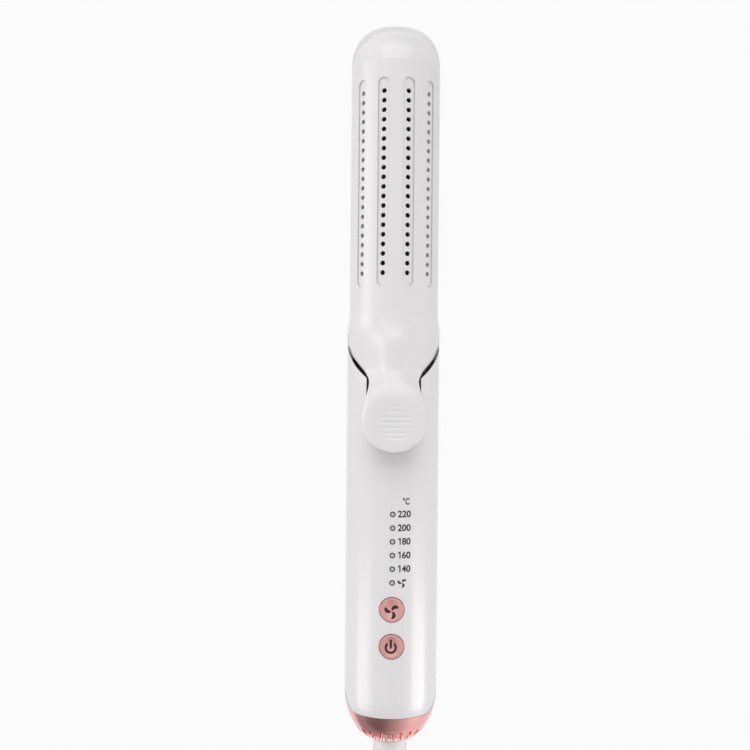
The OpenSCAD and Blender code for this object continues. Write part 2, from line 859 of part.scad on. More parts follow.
module board_frame() {
    window = (board_end - board_y) / 3;
    color("gainsboro") in_place() difference() {
        translate([-board_x, board_y, board_z - frame_t]) cube([2 * board_x, board_end - board_y, frame_t]);
        for (i = [0:2]) translate([-6, board_y + 3 + i * window, board_z - frame_t - 1])
            cube([12, window - 6, frame_t + 2]);
        for (y = board_screw_ys) both(board_screw_x)
            upright(0, y, board_z - frame_t - 1, board_z + 1, screw_r + screw_clear);
    }
}

module board_screws() {
    color("silver") in_place() {
        for (y = board_screw_ys) both(board_screw_x)
            screw(0, y, board_z - frame_t, board_z + board_t + 2, board_z - frame_t, -1);
        for (y = power_screw_ys) both(board_screw_x)
            screw(0, y, power_board_z - board_t - 3.6, power_board_z, power_board_z, 1);
    }
}

module power_board() {
    color("darkgreen") in_place() difference() {
        translate([-board_x, board_y + 9, power_board_z - board_t])
            cube([2 * board_x, board_end - board_y - 12, board_t]);
        for (y = power_screw_ys) both(board_screw_x)
            upright(0, y, power_board_z - board_t - 1, power_board_z + 1, screw_r + screw_clear);
    }
}

part_h = 9;
part_gap = 3;
film_cap = [7, 15];
transformer = [9, 11];
power_switch = [7, 4];
smoothing_r = 4;
smoothing_len = 12;

// A part of the power board: its left-hand corner, its width and length, and its height
module board_part(x, y, size, h) translate([x, y, power_board_z]) cube([size[0], size[1], h]);

// Film capacitor, transformer, power switch and smoothing capacitor
module power_components() {
    y0 = power_screw_ys[0] + 4;
    y1 = y0 + film_cap[1] + part_gap;
    color("darkblue") in_place() {
        board_part(-film_cap[0] - 2, y0, film_cap, part_h);
        board_part(1, y0, transformer, part_h - 1);
        board_part(2, y0 + transformer[1] + part_gap, power_switch, part_h);
        translate([-smoothing_r - 0.5, 0, power_board_z + smoothing_r])
            round_bar(smoothing_r, y1, y1 + smoothing_len);
    }
}

module fan_housing() {
    top = fan_y0 + fan_h;
    color("dimgray") in_place() difference() {
        union() {
            difference() {
                round_bar(ring_out, fan_y0, top + strut_h);
                round_bar(ring_in, fan_y0 - 1, top + strut_h + 1);
            }
            for (a = [45:90:315]) rotate([0, a, 0])
                translate([ring_out - 0.6, fan_y0 + 1, -2]) cube([handle_in - 0.2 - ring_out + 0.6, 5, 4]);
            round_bar(motor_r + 1.2, motor_y, motor_y + 6);
            for (a = [90:120:330]) rotate([0, a, 0])
                translate([motor_r, top, -0.8]) cube([ring_in - motor_r + 0.5, strut_h, 1.6]);
        }
        round_bar(motor_r + fit, motor_y - 1, motor_y + 7);
    }
}

module fan_motor() {
    color("silver") in_place() difference() {
        round_bar(motor_r, motor_y, motor_y + motor_len);
        round_bar(shaft_r + run, motor_y - 1, motor_y + motor_len - 1);
    }
}

module motor_shaft() {
    color("silver") in_place() round_bar(shaft_r, fan_y0 + 1.8, motor_y + motor_len - 1.5);
}

module fan_wheel() {
    color("black") in_place() difference() {
        union() {
            round_bar(hub_r, fan_y0 + 1.5, fan_y0 + 1.5 + hub_h);
            intersection() {
                round_bar(fan_r, fan_y0 + 0.5, fan_y0 + fan_h - 1);
                for (i = [0:blade_count - 1]) rotate([0, 360 * i / blade_count, 0])
                    translate([hub_r - 0.4, fan_y0 + 1.5 + hub_h / 2, 0]) rotate([35, 0, 0])
                        translate([0, -0.5, -3.6]) cube([fan_r, 1, 7.2]);
            }
        }
        round_bar(shaft_r + bond, fan_y0, fan_y0 + fan_h);
    }
}

module strain_relief() {
    neck = 11;
    ribs = 6;
    rib_step = (relief_len - neck - 3) / ribs;
    taper = (collar_r - 1 - relief_end_r) / (relief_len - neck);
    color("whitesmoke") in_place() revolve(concat(
        [[0, -relief_len], [relief_end_r, -relief_len]],
        [for (i = [0:ribs - 1]) for (p = [[0, 0], [0.15, 0.9], [0.85, 0.9], [1, 0]])
            [relief_end_r + 0.1 - p[1] * 0.6 + (i + p[0] * 0.6) * rib_step * taper,
                -relief_len + 1.5 + (i + p[0] * 0.6) * rib_step]],
        [[collar_r - 0.8, -neck], [collar_r - 0.2, -neck + 0.8], [collar_r, -neck + 1.6],
            [collar_r, seat_y + seat], [collar_r + 1.5, seat_y + seat],
            [collar_r + 1.5, seat_y + seat + flange_h], [0, seat_y + seat + flange_h]]
    ));
}

module contact_spindle() {
    y0 = seat_y + seat + flange_h;
    color("goldenrod") in_place() {
        round_bar(spindle_r, y0, y0 + 5);
        round_bar(spindle_r - 1.2, y0 + 5, y0 + 6);
        round_bar(spindle_r, y0 + 6, y0 + 10);
    }
}

module contact_block() {
    color("dimgray") in_place() difference() {
        round_bar(spindle_r + 3.4, block_y, block_y + block_len);
        round_bar(spindle_r + seat, block_y - 1, block_y + block_len - 2);
    }
}

module swivel_retainer() {
    color("dimgray") in_place() difference() {
        round_bar(lip_r - 1.1 - fit, retainer_y, retainer_y + retainer_h);
        round_bar(spindle_r + seat, retainer_y - 1, retainer_y + retainer_h + 1);
    }
}

lead_r = 0.7;

module leads(x, p) both(x) tube(p, lead_r, 6, [1, 0, 0]);

// The pair from the swivel contacts, behind the fan, to the power board
module mains_leads() {
    top = block_y + block_len;
    z = -handle_in + 1.2;
    under_board = power_board_z - board_t;
    color("firebrick") in_place() leads(1.4, [
        [0, top, -4], [0, top + 0.7, -4], [0, top + 1.3, -5.5], [0, top + 1.4, -9], [0, top + 1.4, -12.5],
        [0, top + 2.4, -14.8], [0, top + 5, z], [0, fan_y0 + fan_h + 2, z], [0, board_y + 4, -14],
        [0, board_y + 9, -11], [0, board_y + 12, under_board - 2], [0, board_y + 12, under_board]
    ]);
}

// The pair from the power board to the rear plate's heater
module rear_heater_leads() {
    y0 = board_end - 5;
    y1 = plate_y - seat - carrier_end;
    z = base_z - base_t - 2.4;
    color("firebrick") in_place() leads(2.4, [
        [0, y0, power_board_z - board_t], [0, y0, power_board_z - board_t - 1.2],
        [0, y0 + 2, power_board_z - board_t - 2.6], [0, y0 + 5, -11.5], [0, y0 + 9, z], [0, hinge_y + 12, z],
        [0, y1 - 8, -11.5], [0, y1 - 4.5, -7], [0, y1 - 1.5, -5], [0, y1, -5]
    ]);
}

// The pair from the power board to the front plate's heater: it bends under the hinge
module front_heater_leads() {
    y0 = board_end - 5;
    y1 = plate_y - seat - carrier_end;
    color("firebrick") in_place() leads(2.4, [
        [0, y0, power_board_z], [0, y0, power_board_z + 1.2], [0, y0 + 2, power_board_z + 2.6],
        [0, y0 + 6, -3], [0, hinge_y - 18, -3], [0, hinge_y - 6, -1.5], [0, hinge_y + 6, 1.5],
        [0, y1 - 6, 4.4], [0, y1 - 2, 4.6], [0, y1, 4.6]
    ]);
}

// Turns points given as x, distance behind the strain relief and height into a tube
module cord_tube(route) {
    color("whitesmoke") behind_relief() tube(route, cord_r, 8, [0, 0, 1]);
}

module mains_cord() cord_tube(cord_route);
module plug_lead() cord_tube(plug_route);

// Outline of the hank at a radius of its turns
module hank_outline(r) {
    translate([hank_x - r, hank_near]) square([2 * r, hank_run]);
    for (back = [hank_near, hank_near + hank_run]) translate([hank_x, back]) circle(r = r);
}

module cord_hank() {
    color("whitesmoke") behind_relief() linear_extrude(hank_top) difference() {
        hank_outline(hank_out_r + cord_r);
        hank_outline(hank_in_r - cord_r);
    }
}

// Flat two-pin plug with a tapered tail
module plug_body() {
    color("whitesmoke") behind_relief() {
        translate([plug_x, plug_back, plug_z]) rotate([-90, 0, 0])
            cylinder(r1 = 5.6, r2 = cord_r + 1, h = plug_tail);
        translate([plug_x, 0, plug_z]) intersection() {
            linear_extrude(plug_h, center = true) polygon([
                [-plug_neck / 2, plug_back], [plug_neck / 2, plug_back], [plug_w / 2, plug_back - plug_slope],
                [plug_w / 2, plug_back - plug_len],
                [-plug_w / 2, plug_back - plug_len], [-plug_w / 2, plug_back - plug_slope]
            ]);
            rotate([-90, 0, 0]) translate([0, 0, plug_back - plug_len - 1]) linear_extrude(plug_len + 2) {
                square([plug_w - plug_h, plug_h], center = true);
                both(plug_w / 2 - plug_h / 2) circle(d = plug_h);
            }
        }
    }
}

module plug_pins() {
    face = plug_back - plug_len;
    color("silver") behind_relief() translate([plug_x, 0, plug_z]) both(plug_pin_step / 2) {
        translate([0, face - plug_pin_len + 1, 0]) rotate([-90, 0, 0])
            cylinder(d = plug_pin_d, h = plug_pin_len - 1);
        translate([0, face - plug_pin_len + 1, 0]) sphere(d = plug_pin_d);
    }
}

handle_front_shell();
handle_rear_shell();
end_cap();
rear_arm_shell();
front_arm_shell();
fan_button();
power_button();
fan_switch_plunger();
power_switch_plunger();
switch_bodies();
indicator_light_pipe();
indicator_leds();
control_board();
board_frame();
board_screws();
power_board();
power_components();
case_screws();
intake_filter();
fan_housing();
fan_motor();
motor_shaft();
fan_wheel();
hinge_bracket();
bracket_screws();
hinge_pin();
hinge_spring();
hinge_bushes();
front_plate_carrier();
front_carrier_screws();
front_heater_plate();
front_insulation();
front_heater();
front_plate_pads();
front_thermistor();
rear_plate_carrier();
rear_carrier_screws();
rear_heater_plate();
rear_insulation();
rear_heater();
rear_plate_pads();
thermal_fuse();
mains_leads();
rear_heater_leads();
front_heater_leads();
strain_relief();
contact_spindle();
contact_block();
swivel_retainer();
mains_cord();
cord_hank();
plug_lead();
plug_body();
plug_pins();
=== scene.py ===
# %% [markdown]
# # An airflow hair curler in Blender
# The curler lies on its back on a white table, and the camera looks straight down at it.
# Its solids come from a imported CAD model. This script gives them their real surfaces and adds what the
# solids leave out: the softly moulded lever, the printed marks, the lamps' rings and the cord in its hank.

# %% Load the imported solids
import json
import math

import bmesh
import bpy
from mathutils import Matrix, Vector, kdtree


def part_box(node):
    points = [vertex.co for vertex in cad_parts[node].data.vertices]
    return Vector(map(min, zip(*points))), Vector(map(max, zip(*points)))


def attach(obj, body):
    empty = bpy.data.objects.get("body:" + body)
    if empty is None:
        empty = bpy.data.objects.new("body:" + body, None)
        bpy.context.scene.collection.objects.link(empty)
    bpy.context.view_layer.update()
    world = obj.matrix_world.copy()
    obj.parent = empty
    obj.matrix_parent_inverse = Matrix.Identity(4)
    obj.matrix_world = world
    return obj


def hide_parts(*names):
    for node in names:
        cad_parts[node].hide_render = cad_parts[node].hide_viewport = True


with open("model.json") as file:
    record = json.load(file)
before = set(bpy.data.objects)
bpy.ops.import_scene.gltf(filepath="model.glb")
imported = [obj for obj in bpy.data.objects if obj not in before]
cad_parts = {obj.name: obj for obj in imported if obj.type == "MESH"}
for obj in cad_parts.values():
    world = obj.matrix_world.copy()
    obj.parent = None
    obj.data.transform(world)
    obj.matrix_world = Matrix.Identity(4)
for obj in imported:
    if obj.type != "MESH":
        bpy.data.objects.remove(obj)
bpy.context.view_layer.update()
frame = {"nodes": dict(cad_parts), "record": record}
nodes = frame["nodes"]
MM = 0.001

# %% [markdown]
# ## Places on the curler
# Nearly everything is placed along the handle's axis, as a distance from the pole of the rounded end.
# The collar's hole cuts that pole away, so the hinge pin, 157 mm from it, tells where it would be.

# %% Read the main sizes off the solids
shell_low, shell_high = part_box("handle_rear_shell")
HINGE_S = 157
HANDLE_R = (shell_high.x - shell_low.x) / 2
AXIS_Z = shell_low.z + HANDLE_R


def middle_of(name):
    """Y of the middle of a solid."""
    low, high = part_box(name)
    return (low.y + high.y) / 2


POLE_Y = middle_of("hinge_pin") - HINGE_S * MM


def station(distance_mm):
    """Y of a place that lies this far from the pole of the rounded end."""
    return POLE_Y + distance_mm * MM


print("handle radius", round(HANDLE_R / MM, 2), "mm, pole at", round(POLE_Y / MM, 2), "mm")

# %% [markdown]
# ## The camera
# A catalogue picture like this is taken from above with a normal lens, a little off the middle of the
# object. A camera that looks straight down needs only its place, its height and a slight turn of its frame.

# %% Place the camera over the curler
CAMERA_PLACE_MM = (-7.57, 27.1, 451.6)
CAMERA_TURN = 0.00946


def new_piece(name, data):
    """Puts a mesh, a curve, a light or a camera into the scene."""
    data.name = name
    made = bpy.data.objects.new(name, data)
    bpy.context.scene.collection.objects.link(made)
    return made


camera = new_piece("camera", bpy.data.cameras.new("camera"))
camera.data.lens = 50
camera.data.sensor_width = 36
camera.location = Vector(CAMERA_PLACE_MM) * MM
camera.rotation_euler = (0, 0, CAMERA_TURN)
bpy.context.scene.camera = camera
bpy.context.scene.view_settings.view_transform = "Standard"
print("camera height", round(camera.location.z, 3), "m")

# %% [markdown]
# ## The route of the mains cord
# A cord is a fixed length of something springy. It leaves its strain relief straight, sinks to the table,
# and the length that isn't needed is folded into a hank in line with the slim handle. The turns are long
# loops in five layers. Each layer is one turn, which winds in or out by one diameter, and the cord climbs to
# the next layer along a quarter of a turn, so that no stretch passes through another.

# %% Work out the cord's route
CORD_D = 6
CORD_R = CORD_D / 2
HANDLE_HIGH = AXIS_Z / MM
RELIEF_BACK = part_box("strain_relief")[0].y
HANK_X = 8
HANK_NEAR, HANK_RUN = 80, 64
HANK_FAR = HANK_NEAR + HANK_RUN
OUTER_R, INNER_R = 24, 18
LAYERS = 5
HANK_TOP = LAYERS * CORD_D
PLUG_X, PLUG_Z = 14, HANK_TOP + 6.9
DROP_POINTS = [
    (0, 0, HANDLE_HIGH), (0, 14, HANDLE_HIGH), (-0.5, 20, 18.5), (-1.5, 25, 17.5), (-3, 30.5, 16),
    (-5, 36, 14), (-8, 43, 11), (-11, 50, 8), (-13, 55.5, 6), (-14.5, 61, 4.5),
    (-15.5, 66, 3.5), (-16, 72, 3), (-16, HANK_NEAR, 3),
]
LEAD_POINTS = [
    (-10, HANK_NEAR, 27), (-10, 86, 27.5), (-10, 91, 28.5), (-10, 96, 30), (-10, 101, 31.5),
    (-10, 106, 32.5), (-10, 112, 33), (-10.5, 118, 33), (-11.5, 123, 33), (-13, 128, 33),
    (-14.5, 133, 33), (-15.5, 138, 33), (-16, 144, 33), (-13.5, 153, 33), (-7, 159.5, 33),
    (2, 162, 33), (11, 159.5, 33), (17.5, 153, 33), (20, 144, 33), (20, 138, 33),
    (19, 132, 33.5), (17.5, 127, 34.5), (15.5, 122, 36), (14.5, 118.5, 36.5), (PLUG_X, 115, PLUG_Z),
    (PLUG_X, 113, PLUG_Z), (PLUG_X, 105, PLUG_Z),
]


def ease(u):
    """A smooth step from 0 to 1."""
    return (1 - math.cos(math.pi * u)) / 2


def curve_shares(t):
    """What a start, its slope, an end and its slope add to a smooth curve between the two."""
    return 2 * t ** 3 - 3 * t * t + 1, t ** 3 - 2 * t * t + t, 3 * t * t - 2 * t ** 3, t ** 3 - t * t


def smooth_through(points, steps=3):
    """A smooth line through points, with a few more points between them."""
    line = []
    for i in range(len(points) - 1):
        before, start = Vector(points[max(i - 1, 0)]), Vector(points[i])
        end, after = Vector(points[i + 1]), Vector(points[min(i + 2, len(points) - 1)])
        span = (end - start).length
        out = (end - before).normalized() * span
        into = (after - start).normalized() * span
        for k in range(steps):
            shares = curve_shares(k / steps)
            line.append(start * shares[0] + out * shares[1] + end * shares[2] + into * shares[3])
    return line + [Vector(points[-1])]


def loop_point(quarters, radius, height):
    """A point of a long loop: a run out, the far bend, a run back, the near bend."""
    part, u = int(quarters) % 4, quarters % 1
    across, along = math.cos(math.pi * u) * radius, math.sin(math.pi * u) * radius
    if part == 0:
        return HANK_X - radius, HANK_NEAR + HANK_RUN * u, height
    if part == 1:
        return HANK_X - across, HANK_FAR + along, height
    if part == 2:
        return HANK_X + radius, HANK_FAR - HANK_RUN * u, height
    return HANK_X + across, HANK_NEAR - along, height


def hank_route(steps=14):
    route = []
    for layer in range(LAYERS):
        start, end = (OUTER_R, INNER_R) if layer % 2 == 0 else (INNER_R, OUTER_R)
        height = CORD_R + layer * CORD_D
        first = 5 * layer
        for i in range(4 * steps):
            u = i / (4 * steps)
            route.append(loop_point(first + 4 * u, start + (end - start) * ease(u), height))
        if layer < LAYERS - 1:
            for i in range(steps):
                u = i / steps
                route.append(loop_point(first + 4 + u, end, height + CORD_D * ease(u)))
    return route


def behind(point):
    """Turns x, distance behind the strain relief, and height into a place in the scene."""
    return Vector((point[0] * MM, RELIEF_BACK - point[1] * MM, point[2] * MM))


cord_line = smooth_through(DROP_POINTS)[:-1] + hank_route() + smooth_through(LEAD_POINTS)
cord_route = [behind(p) for p in cord_line]

# %% [markdown]
# ## The cord itself
# A curve with a round bevel is the natural way to model a cord: its line is the centreline, and the bevel
# is the jacket. One curve stands for the cord's three stretches in the solids.

# %% Make the cord


def add_cord(name, line, radius):
    """A round cord. The bevel is a circle of radius 1, and each point's own radius brings it to size."""
    curve = bpy.data.curves.new(name, "CURVE")
    curve.dimensions = "3D"
    curve.bevel_depth = 1.0
    curve.bevel_resolution = 4
    curve.use_fill_caps = True
    spline = curve.splines.new("POLY")
    spline.points.add(len(line) - 1)
    for point, place in zip(spline.points, line):
        point.co = (*place, 1)
        point.radius = radius
    spline.use_smooth = True
    return new_piece(name, curve)


cord = add_cord("mains_cord_laid", cord_route, CORD_R * MM)
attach(cord, "handle")
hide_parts("mains_cord", "cord_hank", "plug_lead")
print("cord made")

# %% [markdown]
# The hank is held by a soft strap. A strap under tension takes the shortest way round what it holds, so
# its line is the outline of the turns' round sections, straight between them and bent round them.

# %% Strap the hank
STRAP_WIDTH = 6
STRAP_THICK = 0.8
STRAP_CLEAR = 0.02
STRAP_BACK = HANK_NEAR + HANK_RUN * 0.9
LEAD_SIDE = 20


def mesh_from(vertices, faces):
    """A mesh with flat faces."""
    mesh = bpy.data.meshes.new("mesh")
    mesh.from_pydata([tuple(v) for v in vertices], [], faces)
    mesh.update()
    return mesh


def band_quads(rings, columns):
    """The corners, as ring and column, of the faces that join closed rings into a closed band."""
    for r in range(rings):
        for k in range(columns):
            n, t = (k + 1) % columns, (r + 1) % rings
            yield (r, k), (r, n), (t, n), (t, k)


def wrapped_line(centres, radius, steps=6):
    """The line that a tight strap takes round equal circles, given in order against the clock."""
    points = []
    count = len(centres)
    for i, (x, z) in enumerate(centres):
        before, after = centres[i - 1], centres[(i + 1) % count]
        start = math.atan2(z - before[1], x - before[0]) - math.pi / 2
        end = math.atan2(after[1] - z, after[0] - x) - math.pi / 2
        while end < start:
            end += 2 * math.pi
        for k in range(steps + 1):
            angle = start + (end - start) * k / steps
            points.append((x + radius * math.cos(angle), z + radius * math.sin(angle)))
    return points


def make_strap():
    left, right, on_top = HANK_X - OUTER_R, HANK_X + OUTER_R, HANK_TOP + CORD_R
    held = [(left, CORD_R), (right, CORD_R), (right, HANK_TOP - CORD_R), (LEAD_SIDE, on_top), (left, on_top)]
    rings = []
    for grow, side in ((0, -1), (STRAP_THICK, -1), (STRAP_THICK, 1), (0, 1)):
        line = wrapped_line(held, CORD_R + grow)
        back, lowest = STRAP_BACK + side * STRAP_WIDTH / 2, STRAP_CLEAR if grow else 0
        rings.append([behind((x, back, max(z, lowest))) for x, z in line])
    count = len(rings[0])
    faces = [tuple(ring * count + column for ring, column in quad) for quad in band_quads(len(rings), count)]
    return new_piece("hank_strap", mesh_from([v for ring in rings for v in ring], faces))


strap = make_strap()
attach(strap, "handle")
print("strapped", STRAP_BACK, "mm behind the strain relief")

# %% [markdown]
# ## Colours and nodes
# Colours are written as the hex values that a painter would pick on screen. Blender's shaders work in
# linear light, so one function turns them. Another small function adds a node with its settings and
# links, and keeps each material short. An input that gets a number keeps it, and one that gets another
# node's output is linked to it.

# %% Helpers for materials


def linear(hex_code):
    """The linear colour of an sRGB hex value, with an alpha of 1."""
    channels = [int(hex_code[i:i + 2], 16) / 255 for i in (1, 3, 5)]
    return [c / 12.92 if c <= 0.04045 else ((c + 0.055) / 1.055) ** 2.4 for c in channels] + [1.0]


def set_inputs(tree, node, inputs):
    """Gives a node's inputs their values or their links."""
    for socket, value in inputs.items():
        if isinstance(value, bpy.types.NodeSocket):
            tree.links.new(value, node.inputs[socket])
        else:
            node.inputs[socket].default_value = value


def add_node(tree, kind, inputs=None, **settings):
    made = tree.nodes.new(kind)
    for key, value in settings.items():
        setattr(made, key, value)
    set_inputs(tree, made, inputs or {})
    return made


def start_material(name, metallic=0.0, ior=1.5):
    material = bpy.data.materials.new(name)
    material.use_nodes = True
    shader = material.node_tree.nodes["Principled BSDF"]
    set_inputs(material.node_tree, shader, {"Metallic": metallic, "IOR": ior})
    return material, material.node_tree, shader


print("helpers ready")

# %% [markdown]
# Most of the curler's finishes are one of a few kinds, moulded, cast, drawn or pressed, and differ in three
# things: how far the colour drifts over the piece, how rough the skin is, and how fine its grain is. So one
# function builds the finish from those, with its sizes in millimetres.
# White plastic looks darker in its narrow grooves and holes, where little light gets in, and that shade is painted
# into the colour: an occlusion node that looks 1.2 mm around each point darkens the colour there. It sees
# only the piece itself, so that the painted shade stays right when a neighbour moves away.

# %% One finish with drift and grain, and painted shade where asked
# How far the painted shade looks, and the occlusion levels at which it is full and at which it ends.
PAINTED_SHADE_REACH = 1.2
PAINTED_SHADE_DARK, PAINTED_SHADE_CLEAR = 0.25, 0.6


def finish(
        name, colours, roughness, grain_mm, relief_mm, drift_mm=30, stretch=(1, 1, 1), metallic=0.0, ior=1.5,
        painted_shade=None):
    material, tree, shader = start_material(name, metallic, ior)
    place = add_node(tree, "ShaderNodeTexCoord")
    run = add_node(tree, "ShaderNodeMapping", {"Vector": place.outputs["Object"], "Scale": stretch})
    drift = add_node(tree, "ShaderNodeTexNoise", {
        "Vector": place.outputs["Object"], "Scale": 1 / (drift_mm * MM), "Detail": 2.0})
    grain = add_node(tree, "ShaderNodeTexNoise", {
        "Vector": run.outputs["Vector"], "Scale": 1 / (grain_mm * MM), "Detail": 3.0})
    colour = add_node(tree, "ShaderNodeMix", {
        "Factor": drift.outputs["Fac"], "A": linear(colours[0]), "B": linear(colours[1])}, data_type="RGBA")
    # The noise keeps mostly between 0.3 and 0.7.
    rough = add_node(tree, "ShaderNodeMapRange", {
        "Value": grain.outputs["Fac"], "From Min": 0.3, "From Max": 0.7,
        "To Min": roughness[0], "To Max": roughness[1]})
    bump = add_node(tree, "ShaderNodeBump", {
        "Height": grain.outputs["Fac"], "Distance": relief_mm * MM, "Strength": 1.0})
    # Painted shade: where the occlusion finds the piece's own walls close by, the colour is mixed towards a dark
    # colour.
    if painted_shade:
        shade = add_node(
            tree, "ShaderNodeAmbientOcclusion", {"Distance": PAINTED_SHADE_REACH * MM}, samples=12, only_local=True)
        depth = add_node(tree, "ShaderNodeMapRange", {
            "Value": shade.outputs["AO"], "From Min": PAINTED_SHADE_DARK, "From Max": PAINTED_SHADE_CLEAR})
        colour = add_node(tree, "ShaderNodeMix", {
            "Factor": depth.outputs["Result"], "A": linear(painted_shade), "B": colour.outputs["Result"]},
            data_type="RGBA")
    set_inputs(tree, shader, {
        "Base Color": colour.outputs["Result"], "Roughness": rough.outputs["Result"],
        "Normal": bump.outputs["Normal"]})
    return material


finishes = {}
print("one function for every finish")

# %% [markdown]
# ## The white shells
# Handles like this are moulded in ABS from a polished tool with a very fine spark texture. The eye sees a
# soft, wide highlight and no grain at arm's length, so the relief is a few micrometres deep.

# %% Moulded white ABS
# The white shells get painted shade: their colour darkens towards near black deep in grooves and holes.
finishes["white_shell"] = finish(
    "moulded_abs_white", ("#E4E2E3", "#E8E6E7"), (0.22, 0.28), grain_mm=0.25, relief_mm=0.002, drift_mm=60,
    ior=1.54, painted_shade="#1E1E20")
print("white shells done")

# %% [markdown]
# ## The rose gold parts
# The end cap and the buttons are ABS with a vacuum-deposited metal film under a tinted lacquer. A film of
# metal reflects like solid metal, so metallic is 1, and the film gives the pink and a slight blur. The clear
# lacquer over it is a coat, which adds a white sheen where the surface turns away.

# %% Rose gold film on ABS
finishes["rose_gold"] = finish(
    "rose_gold_film", ("#E6A6A2", "#EAABA7"), (0.2, 0.26), grain_mm=0.12, relief_mm=0.0012, drift_mm=25,
    metallic=1.0)
film = finishes["rose_gold"].node_tree
set_inputs(film, film.nodes["Principled BSDF"], {"Coat Weight": 0.6, "Coat Roughness": 0.12})
print("rose gold done")

# %% [markdown]
# ## The cord and its plug
# The jacket is soft PVC. It is extruded, so it is matt and slightly waxy, with faint lines along the cord
# that are too fine to show. The same compound is moulded over the plug and the strain relief. The soft
# packing and the sleeves inside are silicone, which bends light less and so looks duller.

# %% Soft white PVC and silicone
finishes["cord_jacket"] = finish(
    "soft_pvc_white", ("#EBEAE9", "#EEEDEC"), (0.45, 0.56), grain_mm=0.5, relief_mm=0.006, ior=1.53)
finishes["silicone"] = finish(
    "silicone_foam", ("#B24A38", "#BC5442"), (0.6, 0.75), grain_mm=0.7, relief_mm=0.03, ior=1.41)
finishes["lead_sleeve"] = finish(
    "silicone_sleeve_white", ("#D6D4CE", "#DEDCD6"), (0.4, 0.5), grain_mm=0.3, relief_mm=0.003, ior=1.41)
print("soft plastics done")

# %% [markdown]
# ## The plastics inside
# The fan, the switches and the hinge's bracket are engineering plastics. Glass-filled nylon shows short
# fibres as a fine matt mottle, acetal is smooth and milky, and plain black ABS lies between them.

# %% Plastics of the inner pieces
finishes["black_plastic"] = finish(
    "moulded_abs_black", ("#1C1C1D", "#222223"), (0.38, 0.5), grain_mm=0.3, relief_mm=0.004, ior=1.54)
finishes["nylon"] = finish(
    "glass_filled_nylon", ("#3A3A3C", "#444446"), (0.5, 0.68), grain_mm=0.4, relief_mm=0.012, drift_mm=4,
    ior=1.53)
finishes["acetal"] = finish(
    "natural_acetal", ("#EDE9DE", "#F1EDE3"), (0.35, 0.42), grain_mm=0.4, relief_mm=0.002, ior=1.48)
finishes["component_case"] = finish(
    "epoxy_dipped_case", ("#B8924A", "#C39C54"), (0.3, 0.42), grain_mm=0.8, relief_mm=0.01, drift_mm=6,
    ior=1.55)
finishes["insulating_film"] = finish(
    "polyimide_film", ("#C4832C", "#CE8F38"), (0.22, 0.3), grain_mm=1.5, relief_mm=0.004, drift_mm=12, ior=1.7)
print("inner plastics done")

# %% [markdown]
# ## The metals
# Screws and the motor's can are zinc-plated steel, drawn and then tumbled. The spring is drawn wire, so its
# grain runs along it. The swivel's contact is turned brass, with fine rings round its axis, and the plug's
# pins are nickel on brass. A metal's colour is its reflection, so it keeps the default IOR.

# %% Steel, brass and nickel
ALONG_Y = (1, 0.08, 1)
ACROSS_Y = (0.12, 1, 0.12)
finishes["steel"] = finish(
    "zinc_plated_steel", ("#B9BBBE", "#C6C8CB"), (0.28, 0.42), grain_mm=0.25, relief_mm=0.002, drift_mm=5,
    metallic=1.0)
finishes["spring_steel"] = finish(
    "drawn_spring_wire", ("#A2A3A6", "#ADAEB1"), (0.25, 0.38), grain_mm=0.12, relief_mm=0.002, stretch=ALONG_Y,
    metallic=1.0)
finishes["contact_brass"] = finish(
    "turned_brass", ("#D8B466", "#E0BE74"), (0.2, 0.32), grain_mm=0.15, relief_mm=0.002, stretch=ACROSS_Y,
    metallic=1.0)
finishes["plated_pin"] = finish(
    "nickel_plated_brass", ("#CFCBC4", "#D8D5CE"), (0.14, 0.24), grain_mm=0.2, relief_mm=0.001, metallic=1.0)
print("metals done")

# %% [markdown]
# ## The heated plates
# The plates are aluminium under a dark, fired ceramic coating with mineral flakes in it. The flakes glint as
# small paler specks, drawn here about 0.8 mm apart so that they show at all. The heater behind each plate is
# bare fired alumina.

# %% Coated plate and fired ceramic
finishes["coated_plate"] = finish(
    "ceramic_coated_aluminium", ("#46464A", "#6A6A70"), (0.22, 0.4), grain_mm=0.4, relief_mm=0.003, drift_mm=0.8,
    metallic=0.4)
finishes["heater_ceramic"] = finish(
    "fired_alumina", ("#C5C0B6", "#CFCABF"), (0.55, 0.7), grain_mm=0.3, relief_mm=0.01, ior=1.76)
print("plates done")

# %% [markdown]
# ## The lamps
# Each indicator is a white light-emitting diode under a frosted polycarbonate pipe. The lamps are off in
# the photograph, so nothing glows: the pipe only scatters the light that falls on it.

# %% Light pipe and lamp case
finishes["light_pipe"] = finish(
    "frosted_polycarbonate", ("#BDBDBC", "#C6C6C5"), (0.35, 0.45), grain_mm=0.2, relief_mm=0.002, ior=1.58)
finishes["light_emitter"] = finish(
    "white_lamp_case", ("#F0EEDF", "#F4F2E4"), (0.35, 0.45), grain_mm=0.3, relief_mm=0.002, ior=1.5)
print("lamps done")

# %% [markdown]
# ## The circuit boards
# A board is glass cloth in green resist. Its copper tracks stand under the resist as slightly raised, paler
# bands. A brick pattern with wide, flat cells reads as tracks about 1.2 mm apart.

# %% Green board with tracks
TRACK_STEP = 1.2


